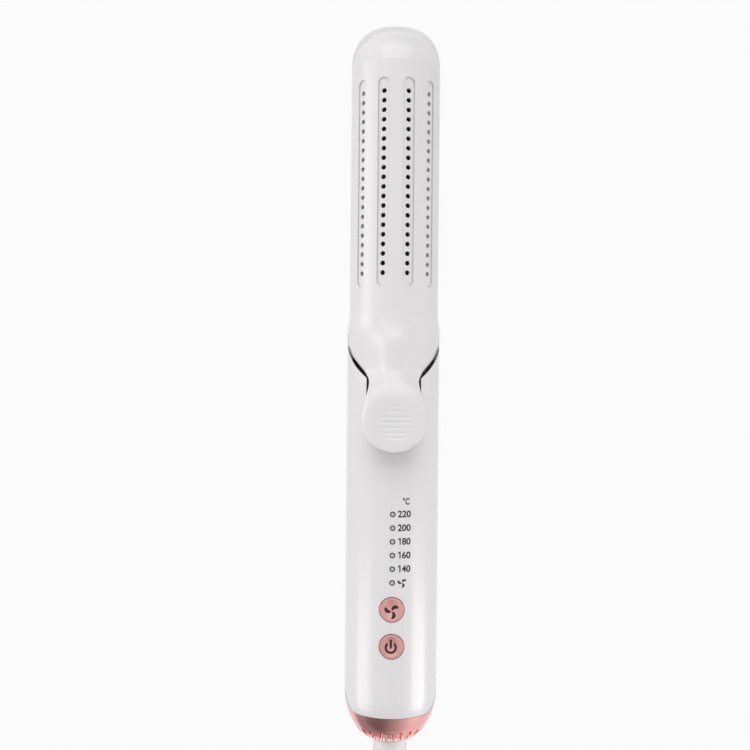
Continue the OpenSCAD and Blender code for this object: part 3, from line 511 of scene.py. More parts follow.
def circuit_board():
    material, tree, shader = start_material("green_solder_resist", ior=1.55)
    place = add_node(tree, "ShaderNodeTexCoord")
    tracks = add_node(tree, "ShaderNodeTexBrick", {
        "Vector": place.outputs["Object"], "Color1": linear("#1C5A34"), "Color2": linear("#236B3E"),
        "Mortar": linear("#123F25"), "Scale": 1 / (2 * TRACK_STEP * MM), "Mortar Size": 0.05,
        "Brick Width": 2.2, "Row Height": 0.5})
    lift = add_node(tree, "ShaderNodeBump", {
        "Height": tracks.outputs["Fac"], "Distance": 0.03 * MM, "Strength": 1.0}, invert=True)
    set_inputs(tree, shader, {
        "Base Color": tracks.outputs["Color"], "Roughness": 0.32, "Normal": lift.outputs["Normal"]})
    return material


finishes["circuit_board"] = circuit_board()
print("boards done")

# %% [markdown]
# ## The intake filter
# Behind the air slots sits a nylon mesh that keeps hair out of the fan. Two waves at right angles make the
# threads of its plain weave, 0.9 mm apart, which is coarser than the real one so that it shows.

# %% Woven filter mesh
THREAD_STEP = 0.9


def filter_mesh():
    material, tree, shader = start_material("woven_nylon_mesh", ior=1.53)
    place = add_node(tree, "ShaderNodeTexCoord")
    # A wave texture of scale 1 repeats every 2 pi / 20 units.
    wave_scale = 2 * math.pi / (20 * THREAD_STEP * MM)
    threads = [
        add_node(tree, "ShaderNodeTexWave", {
            "Vector": place.outputs["Object"], "Scale": wave_scale}, bands_direction=axis)
        for axis in ("X", "Z")
    ]
    weave = add_node(tree, "ShaderNodeMath", {
        0: threads[0].outputs["Fac"], 1: threads[1].outputs["Fac"]}, operation="MAXIMUM")
    colour = add_node(tree, "ShaderNodeMix", {
        "Factor": weave.outputs["Value"], "A": linear("#161616"), "B": linear("#4C4C4C")}, data_type="RGBA")
    lift = add_node(tree, "ShaderNodeBump", {
        "Height": weave.outputs["Value"], "Distance": 0.15 * MM, "Strength": 1.0})
    set_inputs(tree, shader, {
        "Base Color": colour.outputs["Result"], "Roughness": 0.7, "Normal": lift.outputs["Normal"]})
    return material


finishes["filter_mesh"] = filter_mesh()
print("filter done")

# %% [markdown]
# ## Give every solid its finish
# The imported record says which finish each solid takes, so the materials are handed out from its list. The
# solids keep their own shape.

# %% Put the finishes on the solids


def wear(piece, material):
    piece.data.materials.clear()
    piece.data.materials.append(material)


for part in frame["record"]["subparts"]:
    wear(nodes[part["node"]], finishes[part["material_slot"]])
wear(cord, finishes["cord_jacket"])
wear(strap, finishes["cord_jacket"])
print("finishes:", len(finishes))

# %% [markdown]
# ## The front arm's root and lever
# The solids draw the lever with plain facets. The real one is one moulding: a ridge rises out of the barrel,
# sinks to a saddle over the hinge and climbs to a dished paddle, and the flanks beside it fall away like a
# dome to the edge of the cut-out. A height over each point of the outline describes such a form, so it is
# built as a fine grid. First come its outlines, in millimetres from the pole of the rounded end.

# %% Outlines of the arm's root and lever
JOINT_S = 183
HINGE_HIGH = 8
ROOT_R = HANDLE_R / MM - 0.05
BARREL_R = 18.3
SEAM_S = 171
FLARE_END_S = 175.7
PARTING = 0.5
PADDLE_R = 12.85
PADDLE_S = HINGE_S - 23.35
PADDLE_END_S = PADDLE_S - PADDLE_R
WAIST_X, WAIST_S = 9.9, HINGE_S - 8.15
EDGE_START_S = HINGE_S + 7.85
EDGE_STEPS = 90


def bezier(a, b, c, d, steps):
    """A curve from a to d that starts toward b and arrives from c."""
    points = []
    for i in range(steps + 1):
        t = i / steps
        v = 1 - t
        points.append([v ** 3 * a[k] + 3 * v * v * t * b[k] + 3 * v * t * t * c[k] + t ** 3 * d[k] for k in (0, 1)])
    return points


root_edge = bezier((19, EDGE_START_S), (18.6, HINGE_S + 1.05), (10.3, HINGE_S - 3.55), (WAIST_X, WAIST_S), EDGE_STEPS)
lever_edge = bezier(
    (WAIST_X, WAIST_S), (WAIST_X, 144.5), (PADDLE_R, PADDLE_S + 5.3), (PADDLE_R, PADDLE_S), EDGE_STEPS)
paddle_edge = [
    [PADDLE_R * math.cos(math.radians(a)), PADDLE_S - PADDLE_R * math.sin(math.radians(a))] for a in range(0, 91)]
edge_points = root_edge + lever_edge[1:] + paddle_edge[1:]


def smooth_step(low, high, value):
    t = min(max((value - low) / (high - low), 0), 1)
    return t * t * (3 - 2 * t)


def along(points, s):
    """The first number of a list of pairs, read off between them at s. The second falls along the list."""
    for (a, sa), (b, sb) in zip(points, points[1:]):
        if sb <= s <= sa:
            return a + (b - a) * (sa - s) / max(sa - sb, 1e-9)
    return points[0][0] if s > points[0][1] else points[-1][0]


def arm_radius(s):
    return ROOT_R + (BARREL_R - ROOT_R) * smooth_step(SEAM_S - 1, FLARE_END_S + 1, s)


def half_width(s):
    widest = math.sqrt(arm_radius(s) ** 2 - PARTING ** 2)
    return widest if s > EDGE_START_S else min(along(edge_points, s), widest)


print("outline points", len(edge_points), "waist", round(half_width(WAIST_S), 2), "mm")

# %% [markdown]
# The heights are those of the solids, rounded over. The ridge line comes from a smooth curve through a few
# heights. Near the outline the surface rolls over by the moulding's edge radius. The thumb's dish is a part
# of a wide sphere, and its shallow cross grooves end at an oval.

# %% Heights of the arm's root and lever
RIDGE_LINE = (
    (BARREL_R, 178), (18.5, 175), (18.95, 172), (19.7, 169), (20.65, 166), (21.2, 162.5), (21.35, 158.5),
    (21.6, 155), (22.3, 152), (23.4, 149), (24.7, 145.7), (25.8, 141.5), (26.95, PADDLE_S), (28.1, 127),
    (28.9, PADDLE_END_S - 1),
)
RIDGE_HALF = 6.6
DOME_START_S = 173
DOME_DROP = 2.6
ROOT_ROUND = 0.35
PADDLE_ROUND = 1.0
ROOT_WALL, PADDLE_WALL = 1.3, 0.5
BARREL_WALL = 1.8
SHOULDER_WIDTH = 4.5
SHOULDER_DROP = 1.5
DISH_R = 40
DISH_DEPTH = 0.75
DISH_BLEND = 2.0
GROOVE_STEP = 2.08
GROOVE_DEPTH = 0.16
GRIP_X, GRIP_S = 6.2, 7.2
GRIP_MIDDLE = PADDLE_S - 1.2
NECK_HIGH = HANDLE_R / MM - 3.2
UNDER_START_S = 150
UNDER_LINE = (
    (NECK_HIGH, 154), (16.5, UNDER_START_S), (18.5, 148), (20.6, 145.5), (22.0, 143.3), (23.69, PADDLE_S),
    (26.05, 120.3),
)


def ridge_height(s):
    """A smooth curve through the ridge line's points."""
    points = RIDGE_LINE
    if s >= points[0][1]:
        return points[0][0]
    for i in range(len(points) - 1):
        (a, sa), (b, sb) = points[i], points[i + 1]
        if sb <= s <= sa:
            before, after = points[max(i - 1, 0)], points[min(i + 2, len(points) - 1)]
            slope_a = (b - before[0]) / (before[1] - sb) * (sa - sb)
            slope_b = (after[0] - a) / (sa - after[1]) * (sa - sb)
            shares = curve_shares((sa - s) / (sa - sb))
            return a * shares[0] + slope_a * shares[1] + b * shares[2] + slope_b * shares[3]
    return points[-1][0]


def round_over(edge_distance, radius):
    inside = max(radius - edge_distance, 0)
    return radius - math.sqrt(max(radius * radius - inside * inside, 0))


def root_share(s):
    """0 on the paddle and 1 on the root, with a smooth step at the waist."""
    return smooth_step(WAIST_S - 3, WAIST_S + 5, s)


def edge_round(s):
    return PADDLE_ROUND + (ROOT_ROUND - PADDLE_ROUND) * root_share(s)


def least_wall(s):
    return PADDLE_WALL + (ROOT_WALL - PADDLE_WALL) * root_share(s)


def grip_grooves(x, s):
    oval = math.hypot(x / GRIP_X, (s - GRIP_MIDDLE) / GRIP_S)
    wave = math.sin(2 * math.pi * (s - GRIP_MIDDLE) / GROOVE_STEP)
    return GROOVE_DEPTH * smooth_step(0.1, 0.9, wave) * (1 - smooth_step(0.97, 1.03, oval))


def outer_height(x, s, edge_distance):
    """Height of the arm's outer side above the handle's axis."""
    crest = ridge_height(s)
    drop = DOME_DROP * max((DOME_START_S - s) / (DOME_START_S - WAIST_S), 0) ** 1.5
    radius = arm_radius(s) - drop
    flank = math.sqrt(max(radius * radius - x * x, PARTING ** 2))
    swell = 1 / (1 + abs(x / RIDGE_HALF) ** 4)
    root = flank + (crest - radius) * swell
    paddle = crest - SHOULDER_DROP * max(1 - edge_distance / SHOULDER_WIDTH, 0) ** 2
    dish = ridge_height(PADDLE_S) - DISH_DEPTH + (x * x + (s - PADDLE_S) ** 2) / (2 * DISH_R)
    lift = max(DISH_BLEND - abs(paddle - dish), 0) ** 2 / (4 * DISH_BLEND)
    paddle = min(paddle, dish) - lift
    height = root * root_share(s) + paddle * (1 - root_share(s))
    if s < WAIST_S:
        height -= grip_grooves(x, s)
    return max(height - round_over(edge_distance, edge_round(s)), PARTING)


def inner_height(x, s):
    wall_r = (ROOT_R if s < SEAM_S else arm_radius(s)) - BARREL_WALL
    shell = math.sqrt(max(wall_r * wall_r - x * x, PARTING ** 2))
    if s >= SEAM_S + 1:
        return shell
    under = along(UNDER_LINE, s)
    return under if under > NECK_HIGH + 0.3 or s < UNDER_START_S else min(shell, NECK_HIGH)


print("ridge at the hinge", round(ridge_height(HINGE_S), 2), "mm above the axis")

# %% [markdown]
# The grid's columns crowd towards the edge, where the surface rolls over, and its rows crowd at the grooves.
# The barrel beyond the joint keeps the solid's own faces, because its holes are exact there. Its normals
# are set to point straight away from the axis wherever a face belongs to the round wall.

# %% Build the front arm
COLUMNS = 120
# The steps between rows, and the places where they change, in millimetres.
ROOT_STEP, NECK_STEP, GROOVE_ROW_STEP = 0.55, 0.4, 0.16
ROOT_ROWS_TO, NECK_ROWS_TO, GROOVE_ROWS_TO = 150, 142.5, PADDLE_S - 8.3
END_ROWS = 18
LEAST_WIDTH = 1e-3
# Where the arm is too thin for its least wall, the inner side lies at this share of the outer side's height.
INNER_SHARE = 0.3
WELD = 0.004
# The two ears that carry the hinge pin: their faces' distance from the middle, and how far their tops stay
# below the arm's outer side.
EAR_IN, EAR_OUT = 5.6, 9.8
EAR_R, PIN_HOLE_R = 3.6, 2.45
EAR_BELOW = 0.6
SHARP_ANGLE = 35
# A face is part of the round wall if it faces straight away from the axis and lies no deeper than this.
WALL_FACING = 0.995
WALL_DEPTH = 0.9


def grid_rows():
    rows = [JOINT_S - ROOT_STEP * i for i in range(int((JOINT_S - ROOT_ROWS_TO) / ROOT_STEP) + 1)]
    while rows[-1] > NECK_ROWS_TO:
        rows.append(rows[-1] - NECK_STEP)
    while rows[-1] > GROOVE_ROWS_TO:
        rows.append(rows[-1] - GROOVE_ROW_STEP)
    start = math.degrees(math.asin((PADDLE_S - rows[-1]) / PADDLE_R))
    for i in range(1, END_ROWS + 1):
        angle = math.radians(start + (90 - start) * i / END_ROWS)
        rows.append(PADDLE_S - PADDLE_R * math.sin(angle))
    return rows


def arm_root_grid(work):
    """Outer side, inner side and the rim between them, added to a bmesh in metres."""
    tree = kdtree.KDTree(2 * len(edge_points))
    for i, (x, s) in enumerate(edge_points):
        tree.insert((x, s, 0), 2 * i)
        tree.insert((-x, s, 0), 2 * i + 1)
    tree.balance()
    outer, inner = [], []
    for s in grid_rows():
        width = max(half_width(s), LEAST_WIDTH)
        outer_row, inner_row = [], []
        for k in range(COLUMNS + 1):
            x = width * math.sin((2 * k / COLUMNS - 1) * math.pi / 2)
            distance = tree.find((x, s, 0))[2]
            at_edge = k in (0, COLUMNS) and s <= EDGE_START_S
            high = outer_height(x, s, 0 if at_edge else distance)
            low = inner_height(x, s) + round_over(distance, edge_round(s) / 2)
            low = min(low, max(high - least_wall(s), INNER_SHARE * high))
            outer_row.append(work.verts.new((x * MM, station(s), AXIS_Z + high * MM)))
            inner_row.append(work.verts.new((x * MM, station(s), AXIS_Z + low * MM)))
        outer.append(outer_row)
        inner.append(inner_row)
    for r in range(len(outer) - 1):
        for k in range(COLUMNS):
            work.faces.new((outer[r][k], outer[r][k + 1], outer[r + 1][k + 1], outer[r + 1][k]))
            work.faces.new((inner[r][k], inner[r + 1][k], inner[r + 1][k + 1], inner[r][k + 1]))
        work.faces.new((outer[r][0], outer[r + 1][0], inner[r + 1][0], inner[r][0]))
        work.faces.new((outer[r][-1], inner[r][-1], inner[r + 1][-1], outer[r + 1][-1]))
    bmesh.ops.remove_doubles(work, verts=work.verts[:], dist=WELD * MM)


def hinge_ear(work, x0, x1, steps=40):
    """A plate round the hinge pin, with its hole and its stalk up to the neck."""
    rings = []
    for hole, x in ((0, x0), (0, x1), (1, x1), (1, x0)):
        ring = []
        top = outer_height(x, HINGE_S - EAR_R, SHOULDER_WIDTH) - EAR_BELOW
        for i in range(steps):
            angle = 2 * math.pi * (i + 0.5) / steps
            across, up = math.cos(angle), math.sin(angle)
            reach = PIN_HOLE_R if hole else EAR_R
            if up > 0 and not hole:
                reach = min(EAR_R / max(abs(across), 1e-6), (top - HINGE_HIGH) / up)
            place = (x * MM, station(HINGE_S + reach * across), AXIS_Z + (HINGE_HIGH + reach * up) * MM)
            ring.append(work.verts.new(place))
        rings.append(ring)
    for quad in band_quads(len(rings), steps):
        work.faces.new([rings[ring][column] for ring, column in quad])


def barrel_beyond_joint(work):
    """The solid's own faces beyond the joint."""
    part = bmesh.new()
    part.from_mesh(nodes["front_arm_shell"].data)
    everything = part.verts[:] + part.edges[:] + part.faces[:]
    bmesh.ops.bisect_plane(
        part, geom=everything, plane_co=(0, station(JOINT_S), 0), plane_no=(0, 1, 0), clear_inner=True)
    mesh = bpy.data.meshes.new("beyond")
    part.to_mesh(mesh)
    part.free()
    work.from_mesh(mesh)
    bpy.data.meshes.remove(mesh)


def round_wall_normals(mesh):
    """Smooth normals, and on the barrel's round wall normals that point straight away from the axis."""
    mesh.polygons.foreach_set("use_smooth", [True] * len(mesh.polygons))
    mesh.set_sharp_from_angle(angle=math.radians(SHARP_ANGLE))
    mesh.update()
    normals = [Vector(n.vector) for n in mesh.corner_normals]
    for face in mesh.polygons:
        away = Vector((face.center.x, 0, face.center.z - AXIS_Z))
        if face.center.y < station(JOINT_S) or away.length < 1e-6:
            continue
        if face.normal.dot(away.normalized()) > WALL_FACING and away.length > (BARREL_R - WALL_DEPTH) * MM:
            for loop in face.loop_indices:
                place = mesh.vertices[mesh.loops[loop].vertex_index].co
                normals[loop] = Vector((place.x, 0, place.z - AXIS_Z)).normalized()
    mesh.normals_split_custom_set(normals)


def make_front_arm():
    work = bmesh.new()
    arm_root_grid(work)
    hinge_ear(work, EAR_IN, EAR_OUT)
    hinge_ear(work, -EAR_OUT, -EAR_IN)
    bmesh.ops.recalc_face_normals(work, faces=work.faces[:])
    barrel_beyond_joint(work)
    mesh = bpy.data.meshes.new("front_arm_moulded")
    work.to_mesh(mesh)
    work.free()
    round_wall_normals(mesh)
    return new_piece("front_arm_moulded", mesh)


front_arm = make_front_arm()
wear(front_arm, finishes["white_shell"])
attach(front_arm, "clamp_arm")
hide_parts("front_arm_shell")
print("front arm faces", len(front_arm.data.polygons))

# %% [markdown]
# ## Printed marks and inlays
# The temperatures are pad-printed on the handle's round front, and the signs on the buttons are inlaid in
# their shallow dishes. Each mark is drawn flat first and then laid on the surface under it, point by point,
# so that it follows the curve. A thin solidify gives it the body of a layer of ink.

# %% Lay flat marks on the handle and on the buttons
INK = 0.04 * MM
LIFT = 0.03 * MM
MARK_EDGE = 0.6 * MM
BUTTON_DISH_R = 28.3 * MM
BUTTON_DISH = 0.3 * MM


def on_handle(x, y):
    """A place on the handle's round front."""
    return Vector((x, y, AXIS_Z + math.sqrt((HANDLE_R + LIFT) ** 2 - x * x)))


def in_dish(middle_y):
    """Makes the function that lays marks in the dish of the button at middle_y."""
    def place(x, y):
        out = x * x + (y - middle_y) ** 2
        top = AXIS_Z + HANDLE_R + BUTTON_DISH_R - BUTTON_DISH
        return Vector((x, y, top - math.sqrt(BUTTON_DISH_R ** 2 - out) + LIFT))
    return place


def lay_mark(name, mesh, place, body, material):
    """Cuts a flat mesh fine enough to bend, lays it down, and gives it the body of a layer of ink."""
    work = bmesh.new()
    work.from_mesh(mesh)
    bmesh.ops.triangulate(work, faces=work.faces[:])
    for _ in range(2):
        long_edges = [e for e in work.edges if e.calc_length() > MARK_EDGE]
        bmesh.ops.subdivide_edges(work, edges=long_edges, cuts=1)
        bmesh.ops.triangulate(work, faces=work.faces[:])
    for vertex in work.verts:
        vertex.co = place(vertex.co.x, vertex.co.y)
    bmesh.ops.recalc_face_normals(work, faces=work.faces[:])
    if sum(f.normal.z * f.calc_area() for f in work.faces) < 0:
        bmesh.ops.reverse_faces(work, faces=work.faces[:])
    work.to_mesh(mesh)
    work.free()
    mesh.update()
    mark = new_piece(name, mesh)
    layer = mark.modifiers.new("ink", "SOLIDIFY")
    layer.thickness = INK
    layer.offset = -1
    wear(mark, material)
    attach(mark, body)


print("marks are", INK / MM, "mm thick")

# %% [markdown]
# Ink that is cured on plastic is nearly matt and nearly black. The rings of the lamps are moulded in dark
# grey, and the lens in each ring is the frosted pipe's own end.

# %% Ink and ring finishes
ink_print = finish("cured_ink_black", ("#1D1D1F", "#252527"), (0.5, 0.6), grain_mm=0.2, relief_mm=0.001)
ink_black = finish("inlay_black", ("#0E0E0F", "#151516"), (0.4, 0.5), grain_mm=0.2, relief_mm=0.001)
ring_grey = finish("moulded_ring_grey", ("#2A2A2C", "#333335"), (0.4, 0.5), grain_mm=0.2, relief_mm=0.002)
print("inks done")

# %% [markdown]
# ## The lamps' rings
# Six small rings frame the ends of the light pipes. Their places come from the lamps below them.

# %% Six rings round the light pipes
lamp_low, lamp_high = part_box("indicator_leds")
LAMP_COUNT = 6
LAMP_HALF = 1 * MM
LAMP_TOP_Y = lamp_high.y - LAMP_HALF
LAMP_STEP = (LAMP_TOP_Y - (lamp_low.y + LAMP_HALF)) / (LAMP_COUNT - 1)
RING_OUT = 1.13 * MM
RING_IN = 0.68 * MM
lamp_ys = [LAMP_TOP_Y - i * LAMP_STEP for i in range(LAMP_COUNT)]


def ring_band(radius_in, radius_out, middle, start=0.0, end=2 * math.pi, steps=40):
    """Vertices and faces of a flat band between two radii, round or open."""
    closed = abs(end - start - 2 * math.pi) < 1e-6
    count = steps if closed else steps + 1
    vertices = []
    for i in range(count):
        angle = start + (end - start) * i / steps
        for radius in (radius_in, radius_out):
            vertices.append((middle[0] + radius * math.cos(angle), middle[1] + radius * math.sin(angle), 0))
    faces = []
    for i in range(steps):
        n = (i + 1) % count
        faces.append((2 * i, 2 * i + 1, 2 * n + 1, 2 * n))
    return vertices, faces


def joined(parts):
    """One flat mesh from several lists of vertices and faces."""
    vertices, faces = [], []
    for part_vertices, part_faces in parts:
        start = len(vertices)
        vertices += part_vertices
        faces += [tuple(start + i for i in face) for face in part_faces]
    return mesh_from(vertices, faces)


rings = joined([ring_band(RING_IN, RING_OUT, (0, y)) for y in lamp_ys])
lay_mark("lamp_rings", rings, on_handle, "handle", ring_grey)
print("rings at", [round(y / MM, 1) for y in lamp_ys])

# %% [markdown]
# ## The temperatures
# Blender's own text objects give plain figures. The text is turned into a mesh, scaled to its real width
# and height, and laid on the handle beside its lamp. That typeface's one is a bare bar, so the ones are drawn
# here with their flag.

# %% Print the temperatures and the degree sign
FIGURE_LEFT = 2.05 * MM
FIGURE_WIDTH = 5.2 * MM
FIGURE_HIGH = 2.75 * MM
FIGURE_ABOVE = 0.15 * MM
FIGURE_WEIGHT = 0.026
ONE_LEFT, ONE_WIDTH = 0.2 * MM, 1.05 * MM
ONE_SHARE, REST_SHARE = 0.34, 0.66
UNIT_LEFT = 4.0 * MM
UNIT_WIDTH = 2.7 * MM
UNIT_ABOVE = 5.2 * MM


def text_mesh(words, left, middle_y, width, height):
    curve = bpy.data.curves.new("words", "FONT")
    curve.body = words
    curve.resolution_u = 6
    curve.offset = FIGURE_WEIGHT
    temporary = new_piece("words", curve)
    bpy.context.view_layer.update()
    graph = bpy.context.evaluated_depsgraph_get()
    mesh = bpy.data.meshes.new_from_object(temporary.evaluated_get(graph))
    bpy.data.objects.remove(temporary)
    xs = [v.co.x for v in mesh.vertices]
    ys = [v.co.y for v in mesh.vertices]
    wide, high = max(xs) - min(xs), max(ys) - min(ys)
    for v in mesh.vertices:
        v.co.x = left + (v.co.x - min(xs)) / wide * width
        v.co.y = middle_y + ((v.co.y - min(ys)) / high - 0.5) * height
    return mesh


def flagged_one(left, middle_y, width, height):
    """A one: its bar, and a flag that falls from the bar's top to the left."""
    bar, low, high = width * 0.55, middle_y - height / 2, middle_y + height / 2
    outline = [
        (left + bar, low), (left + width, low), (left + width, high), (left + bar * 1.05, high),
        (left, high - height * 0.16), (left, high - height * 0.33), (left + bar, high - height * 0.22),
    ]
    return mesh_from([(x, y, 0) for x, y in outline], [tuple(range(len(outline)))])


def figure_mesh(figure, middle_y):
    if figure[0] != "1":
        return text_mesh(figure, FIGURE_LEFT, middle_y, FIGURE_WIDTH, FIGURE_HIGH)
    work = bmesh.new()
    for part in (
            flagged_one(FIGURE_LEFT + ONE_LEFT, middle_y, ONE_WIDTH, FIGURE_HIGH),
            text_mesh(
                figure[1:], FIGURE_LEFT + FIGURE_WIDTH * ONE_SHARE, middle_y, FIGURE_WIDTH * REST_SHARE,
                FIGURE_HIGH)):
        work.from_mesh(part)
    mesh = bpy.data.meshes.new("figure")
    work.to_mesh(mesh)
    work.free()
    return mesh


for figure, lamp_y in zip(("220", "200", "180", "160", "140"), lamp_ys):
    lay_mark("figure_" + figure, figure_mesh(figure, lamp_y + FIGURE_ABOVE), on_handle, "handle", ink_print)
flat = text_mesh("°C", UNIT_LEFT, lamp_ys[0] + UNIT_ABOVE, UNIT_WIDTH, FIGURE_HIGH)
lay_mark("degree_sign", flat, on_handle, "handle", ink_print)
print("figures printed")

# %% [markdown]
# ## The signs on the buttons
# A broken ring with a bar means power on nearly every appliance, and three curved blades mean a fan. Each
# blade is a line that curls out of the hub, with a half width at each of its points.

# %% Draw the power sign and the fan signs
POWER_Y, FAN_Y = middle_of("power_button"), middle_of("fan_button")
POWER_RING = 2.0 * MM
POWER_STROKE = 0.92 * MM
POWER_LEFT = 0.28 * MM
RING_LOWER = 0.4 * MM
FAN_LOWER = 0.6 * MM
POWER_GAP = math.radians(38)
BAR_TOP = 2.85 * MM
BAR_BOTTOM = -0.7 * MM
SMALL_FAN_X = 4.0 * MM
SMALL_FAN_SIZE = 0.62 * MM
BLADE_TIP = (0.6, 1.2, 1.8, 2.5)
BLADE_LINE = (
    (0.16, 0.28, 0.19), (0.22, 0.62, 0.38), (0.36, 0.98, 0.55), (0.62, 1.32, 0.66), (0.98, 1.60, 0.70),
    (1.42, 1.74, 0.68), (1.86, 1.68, 0.60), (2.18, 1.50, 0.48),
)


def power_sign(middle_y):
    half = POWER_STROKE / 2
    band = ring_band(
        POWER_RING - half, POWER_RING + half, (-POWER_LEFT, middle_y - RING_LOWER),
        math.pi / 2 + POWER_GAP, math.pi * 5 / 2 - POWER_GAP)
    bar = [(-half, BAR_BOTTOM), (half, BAR_BOTTOM), (half, BAR_TOP), (-half, BAR_TOP)]
    return joined([band, ([(x - POWER_LEFT, middle_y + y, 0) for x, y in bar], [(0, 1, 2, 3)])])


def fan_sign(middle, size):
    """Three comma-shaped blades: each curls clockwise out of the hub, widens and ends round."""
    blades = []
    for turn in range(3):
        base = math.radians(120 * turn)
        left, right = [], []
        for i, (x, y, half) in enumerate(BLADE_LINE):
            before, after = BLADE_LINE[max(i - 1, 0)], BLADE_LINE[min(i + 1, len(BLADE_LINE) - 1)]
            run = Vector((after[0] - before[0], after[1] - before[1])).normalized()
            left.append((x - run.y * half, y + run.x * half))
            right.append((x + run.y * half, y - run.x * half))
        x, y, half = BLADE_LINE[-1]
        start = math.atan2(left[-1][1] - y, left[-1][0] - x)
        tip = [(x + half * math.cos(start - a), y + half * math.sin(start - a)) for a in BLADE_TIP]
        outline = left + tip + right[::-1]
        vertices = [
            (middle[0] + (u * math.cos(base) - v * math.sin(base)) * size,
             middle[1] + (u * math.sin(base) + v * math.cos(base)) * size, 0)
            for u, v in outline
        ]
        blades.append((vertices, [tuple(range(len(vertices)))]))
    return joined(blades)


lay_mark("power_sign", power_sign(POWER_Y), in_dish(POWER_Y), "power_button", ink_black)
lay_mark("fan_sign", fan_sign((0, FAN_Y - FAN_LOWER), MM), in_dish(FAN_Y), "fan_button", ink_black)
lay_mark("small_fan_sign", fan_sign((SMALL_FAN_X, lamp_ys[-1]), SMALL_FAN_SIZE), on_handle, "handle", ink_print)
print("signs drawn")

# %% [markdown]
# ## The table
# The table is a plain white sheet. Seen by the camera and in reflections it is white paper, and it still
# takes the curler's own soft shadow. Light Path tells the kinds of ray apart. From here on, sizes are in metres.

# %% Make the table and the room
TABLE_HALF = 1.5
TABLE_DROP = 0.0002
TABLE_WHITE = 0.95
AMBIENT = 0.45
WHITE = (1, 1, 1, 1)


def sheet(name, left, right, foot, top):
    """A flat sheet between left and right. Its foot and its top are given as y and z."""
    corners = [(left, *foot), (right, *foot), (right, *top), (left, *top)]
    return new_piece(name, mesh_from(corners, [(0, 1, 2, 3)]))


def seen_itself(tree):
    """1 for a ray that shows the thing to the eye, straight, by reflection or through glass, and else 0."""
    path = add_node(tree, "ShaderNodeLightPath")
    seen = path.outputs["Is Camera Ray"]
    for kind in ("Is Glossy Ray", "Is Transmission Ray"):
        either = add_node(tree, "ShaderNodeMath", {0: seen, 1: path.outputs[kind]}, operation="MAXIMUM")
        seen = either.outputs["Value"]
    return seen


def white_table():
    material, tree, shader = start_material("white_paper")
    set_inputs(tree, shader, {"Base Color": linear("#A8A8A8"), "Roughness": 0.9, "Specular IOR Level": 0.0})
    glow = add_node(tree, "ShaderNodeEmission", {"Color": WHITE, "Strength": 1.0})
    share = add_node(tree, "ShaderNodeMath", {0: seen_itself(tree), 1: TABLE_WHITE}, operation="MULTIPLY")
    mixed = add_node(tree, "ShaderNodeMixShader", {
        0: share.outputs["Value"], 1: shader.outputs["BSDF"], 2: glow.outputs["Emission"]})
    set_inputs(tree, tree.nodes["Material Output"], {"Surface": mixed.outputs["Shader"]})
    return material


table = sheet("table", -TABLE_HALF, TABLE_HALF, (-TABLE_HALF, -TABLE_DROP), (TABLE_HALF, -TABLE_DROP))
wear(table, white_table())

world = bpy.data.worlds.new("white_room")
world.use_nodes = True
bpy.context.scene.world = world
room = world.node_tree
room_level = add_node(room, "ShaderNodeMapRange", {"Value": seen_itself(room), "To Min": AMBIENT, "To Max": 1.0})
set_inputs(room, room.nodes["Background"], {"Color": WHITE, "Strength": room_level.outputs["Result"]})
print("table and room done")

# %% [markdown]
# A white room alone makes metal look like pale paint. Photographers hold a dark card where the metal should
# go deep. This one stands beyond the rounded end, and only reflections see it. It is graduated: it fades to
# white at its top and sides, so that its edges don't show as lines in the metal. A grey card that lies on the
# table, left of the cord, does the same for the metal's lower left side.

# %% Set a graduated dark card and a low grey one beyond the rounded end
CARD_LEFT, CARD_RIGHT = -3.0, 0.7
CARD_FOOT, CARD_TOP = (-1.3, 0.0), (-0.12, 1.0)
CARD_DARK = 0.18
# Each fade: its axis, where along it the fade starts and ends, and how bright the card is at its end.
CARD_FADES = (("Z", 0.5, 1.0, 1.0), ("X", 0.75, 1.0, 1.0), ("X", 0.6, 0.0, 0.75))
LOW_LEFT, LOW_RIGHT = -1.2, -0.025
LOW_FOOT, LOW_TOP = (-1.0, 0.001), (-0.15, 0.001)
LOW_GREY = 0.38


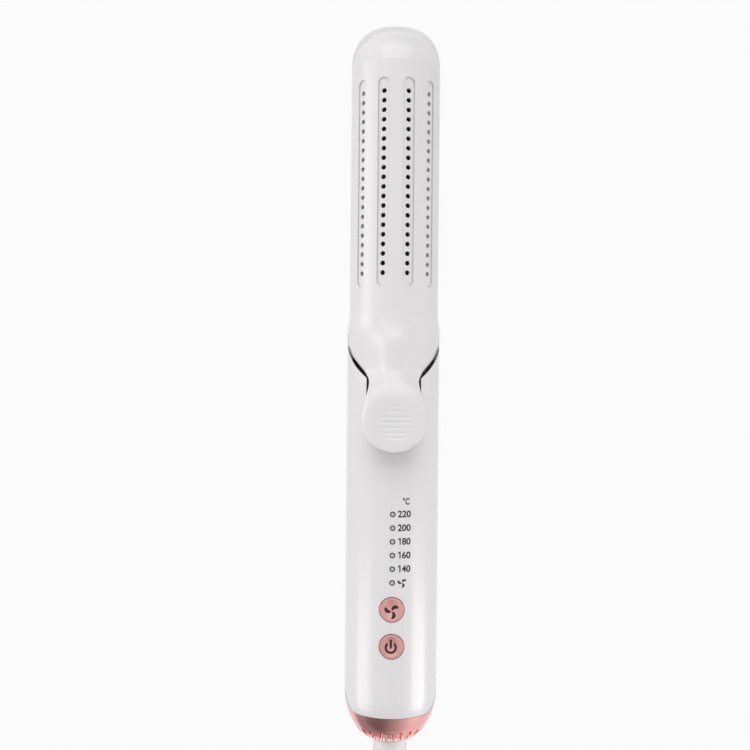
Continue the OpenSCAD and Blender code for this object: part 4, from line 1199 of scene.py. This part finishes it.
def graduated(tree):
    """How bright the dark card is at each place."""
    place = add_node(tree, "ShaderNodeTexCoord")
    axes = add_node(tree, "ShaderNodeSeparateXYZ", {"Vector": place.outputs["Generated"]})
    fades = [
        add_node(tree, "ShaderNodeMapRange", {
            "Value": axes.outputs[axis], "From Min": start, "From Max": end, "To Min": CARD_DARK, "To Max": level})
        for axis, start, end, level in CARD_FADES
    ]
    lighter = add_node(tree, "ShaderNodeMath", {
        0: fades[0].outputs["Result"], 1: fades[1].outputs["Result"]}, operation="MAXIMUM")
    lightest = add_node(tree, "ShaderNodeMath", {
        0: lighter.outputs["Value"], 1: fades[2].outputs["Result"]}, operation="MAXIMUM")
    return lightest.outputs["Value"]


dark_card = sheet("dark_card", CARD_LEFT, CARD_RIGHT, CARD_FOOT, CARD_TOP)
grey_card = sheet("grey_card", LOW_LEFT, LOW_RIGHT, LOW_FOOT, LOW_TOP)
for card, paper in ((dark_card, "graduated_card"), (grey_card, "grey_paper")):
    material, tree, _ = start_material(paper)
    glow = add_node(tree, "ShaderNodeEmission", {
        "Color": WHITE, "Strength": graduated(tree) if card is dark_card else LOW_GREY})
    set_inputs(tree, tree.nodes["Material Output"], {"Surface": glow.outputs["Emission"]})
    wear(card, material)
    card.visible_camera = False
    card.visible_diffuse = False
    card.visible_shadow = False
    print(card.name, [round(v, 2) for v in card.dimensions])

# %% [markdown]
# ## The lights
# The handle shows a bright band on each flank, with a slightly darker middle. That is the mark of two long
# softboxes, low on each side. They end beside the lever, and a weaker one on the left takes the band on along
# the barrel. A large softbox beyond the tip brings out the lever's slopes.

# %% Place the softboxes


def softbox(name, place, aim, size_x, size_y, power):
    """A soft lamp. Its sides are in metres and its power is in watts."""
    light = bpy.data.lights.new(name, "AREA")
    light.shape = "RECTANGLE"
    light.size = size_x
    light.size_y = size_y
    light.energy = power
    made = new_piece(name, light)
    made.location = place
    made.rotation_euler = (Vector(aim) - Vector(place)).to_track_quat("-Z", "Y").to_euler()


def beside(angle, along_y, distance=0.6):
    """A place round the curler's axis: 0 is straight above, and positive angles are to the right."""
    turn = math.radians(angle)
    return (distance * math.sin(turn), along_y, AXIS_Z + distance * math.cos(turn))


softbox("softbox_left", beside(-78, -0.33), (0, -0.16, AXIS_Z), 0.28, 0.6, 1.85)
softbox("softbox_left_barrel", beside(-78, 0.19), (0, 0.1, AXIS_Z), 0.28, 0.4, 0.75)
softbox("softbox_right", beside(78, -0.33), (0, -0.16, AXIS_Z), 0.28, 0.6, 2.6)
softbox("softbox_tip", (-0.05, 0.95, 0.80), (0, 0.02, AXIS_Z), 1.4, 1.0, 8.0)
print("four softboxes")
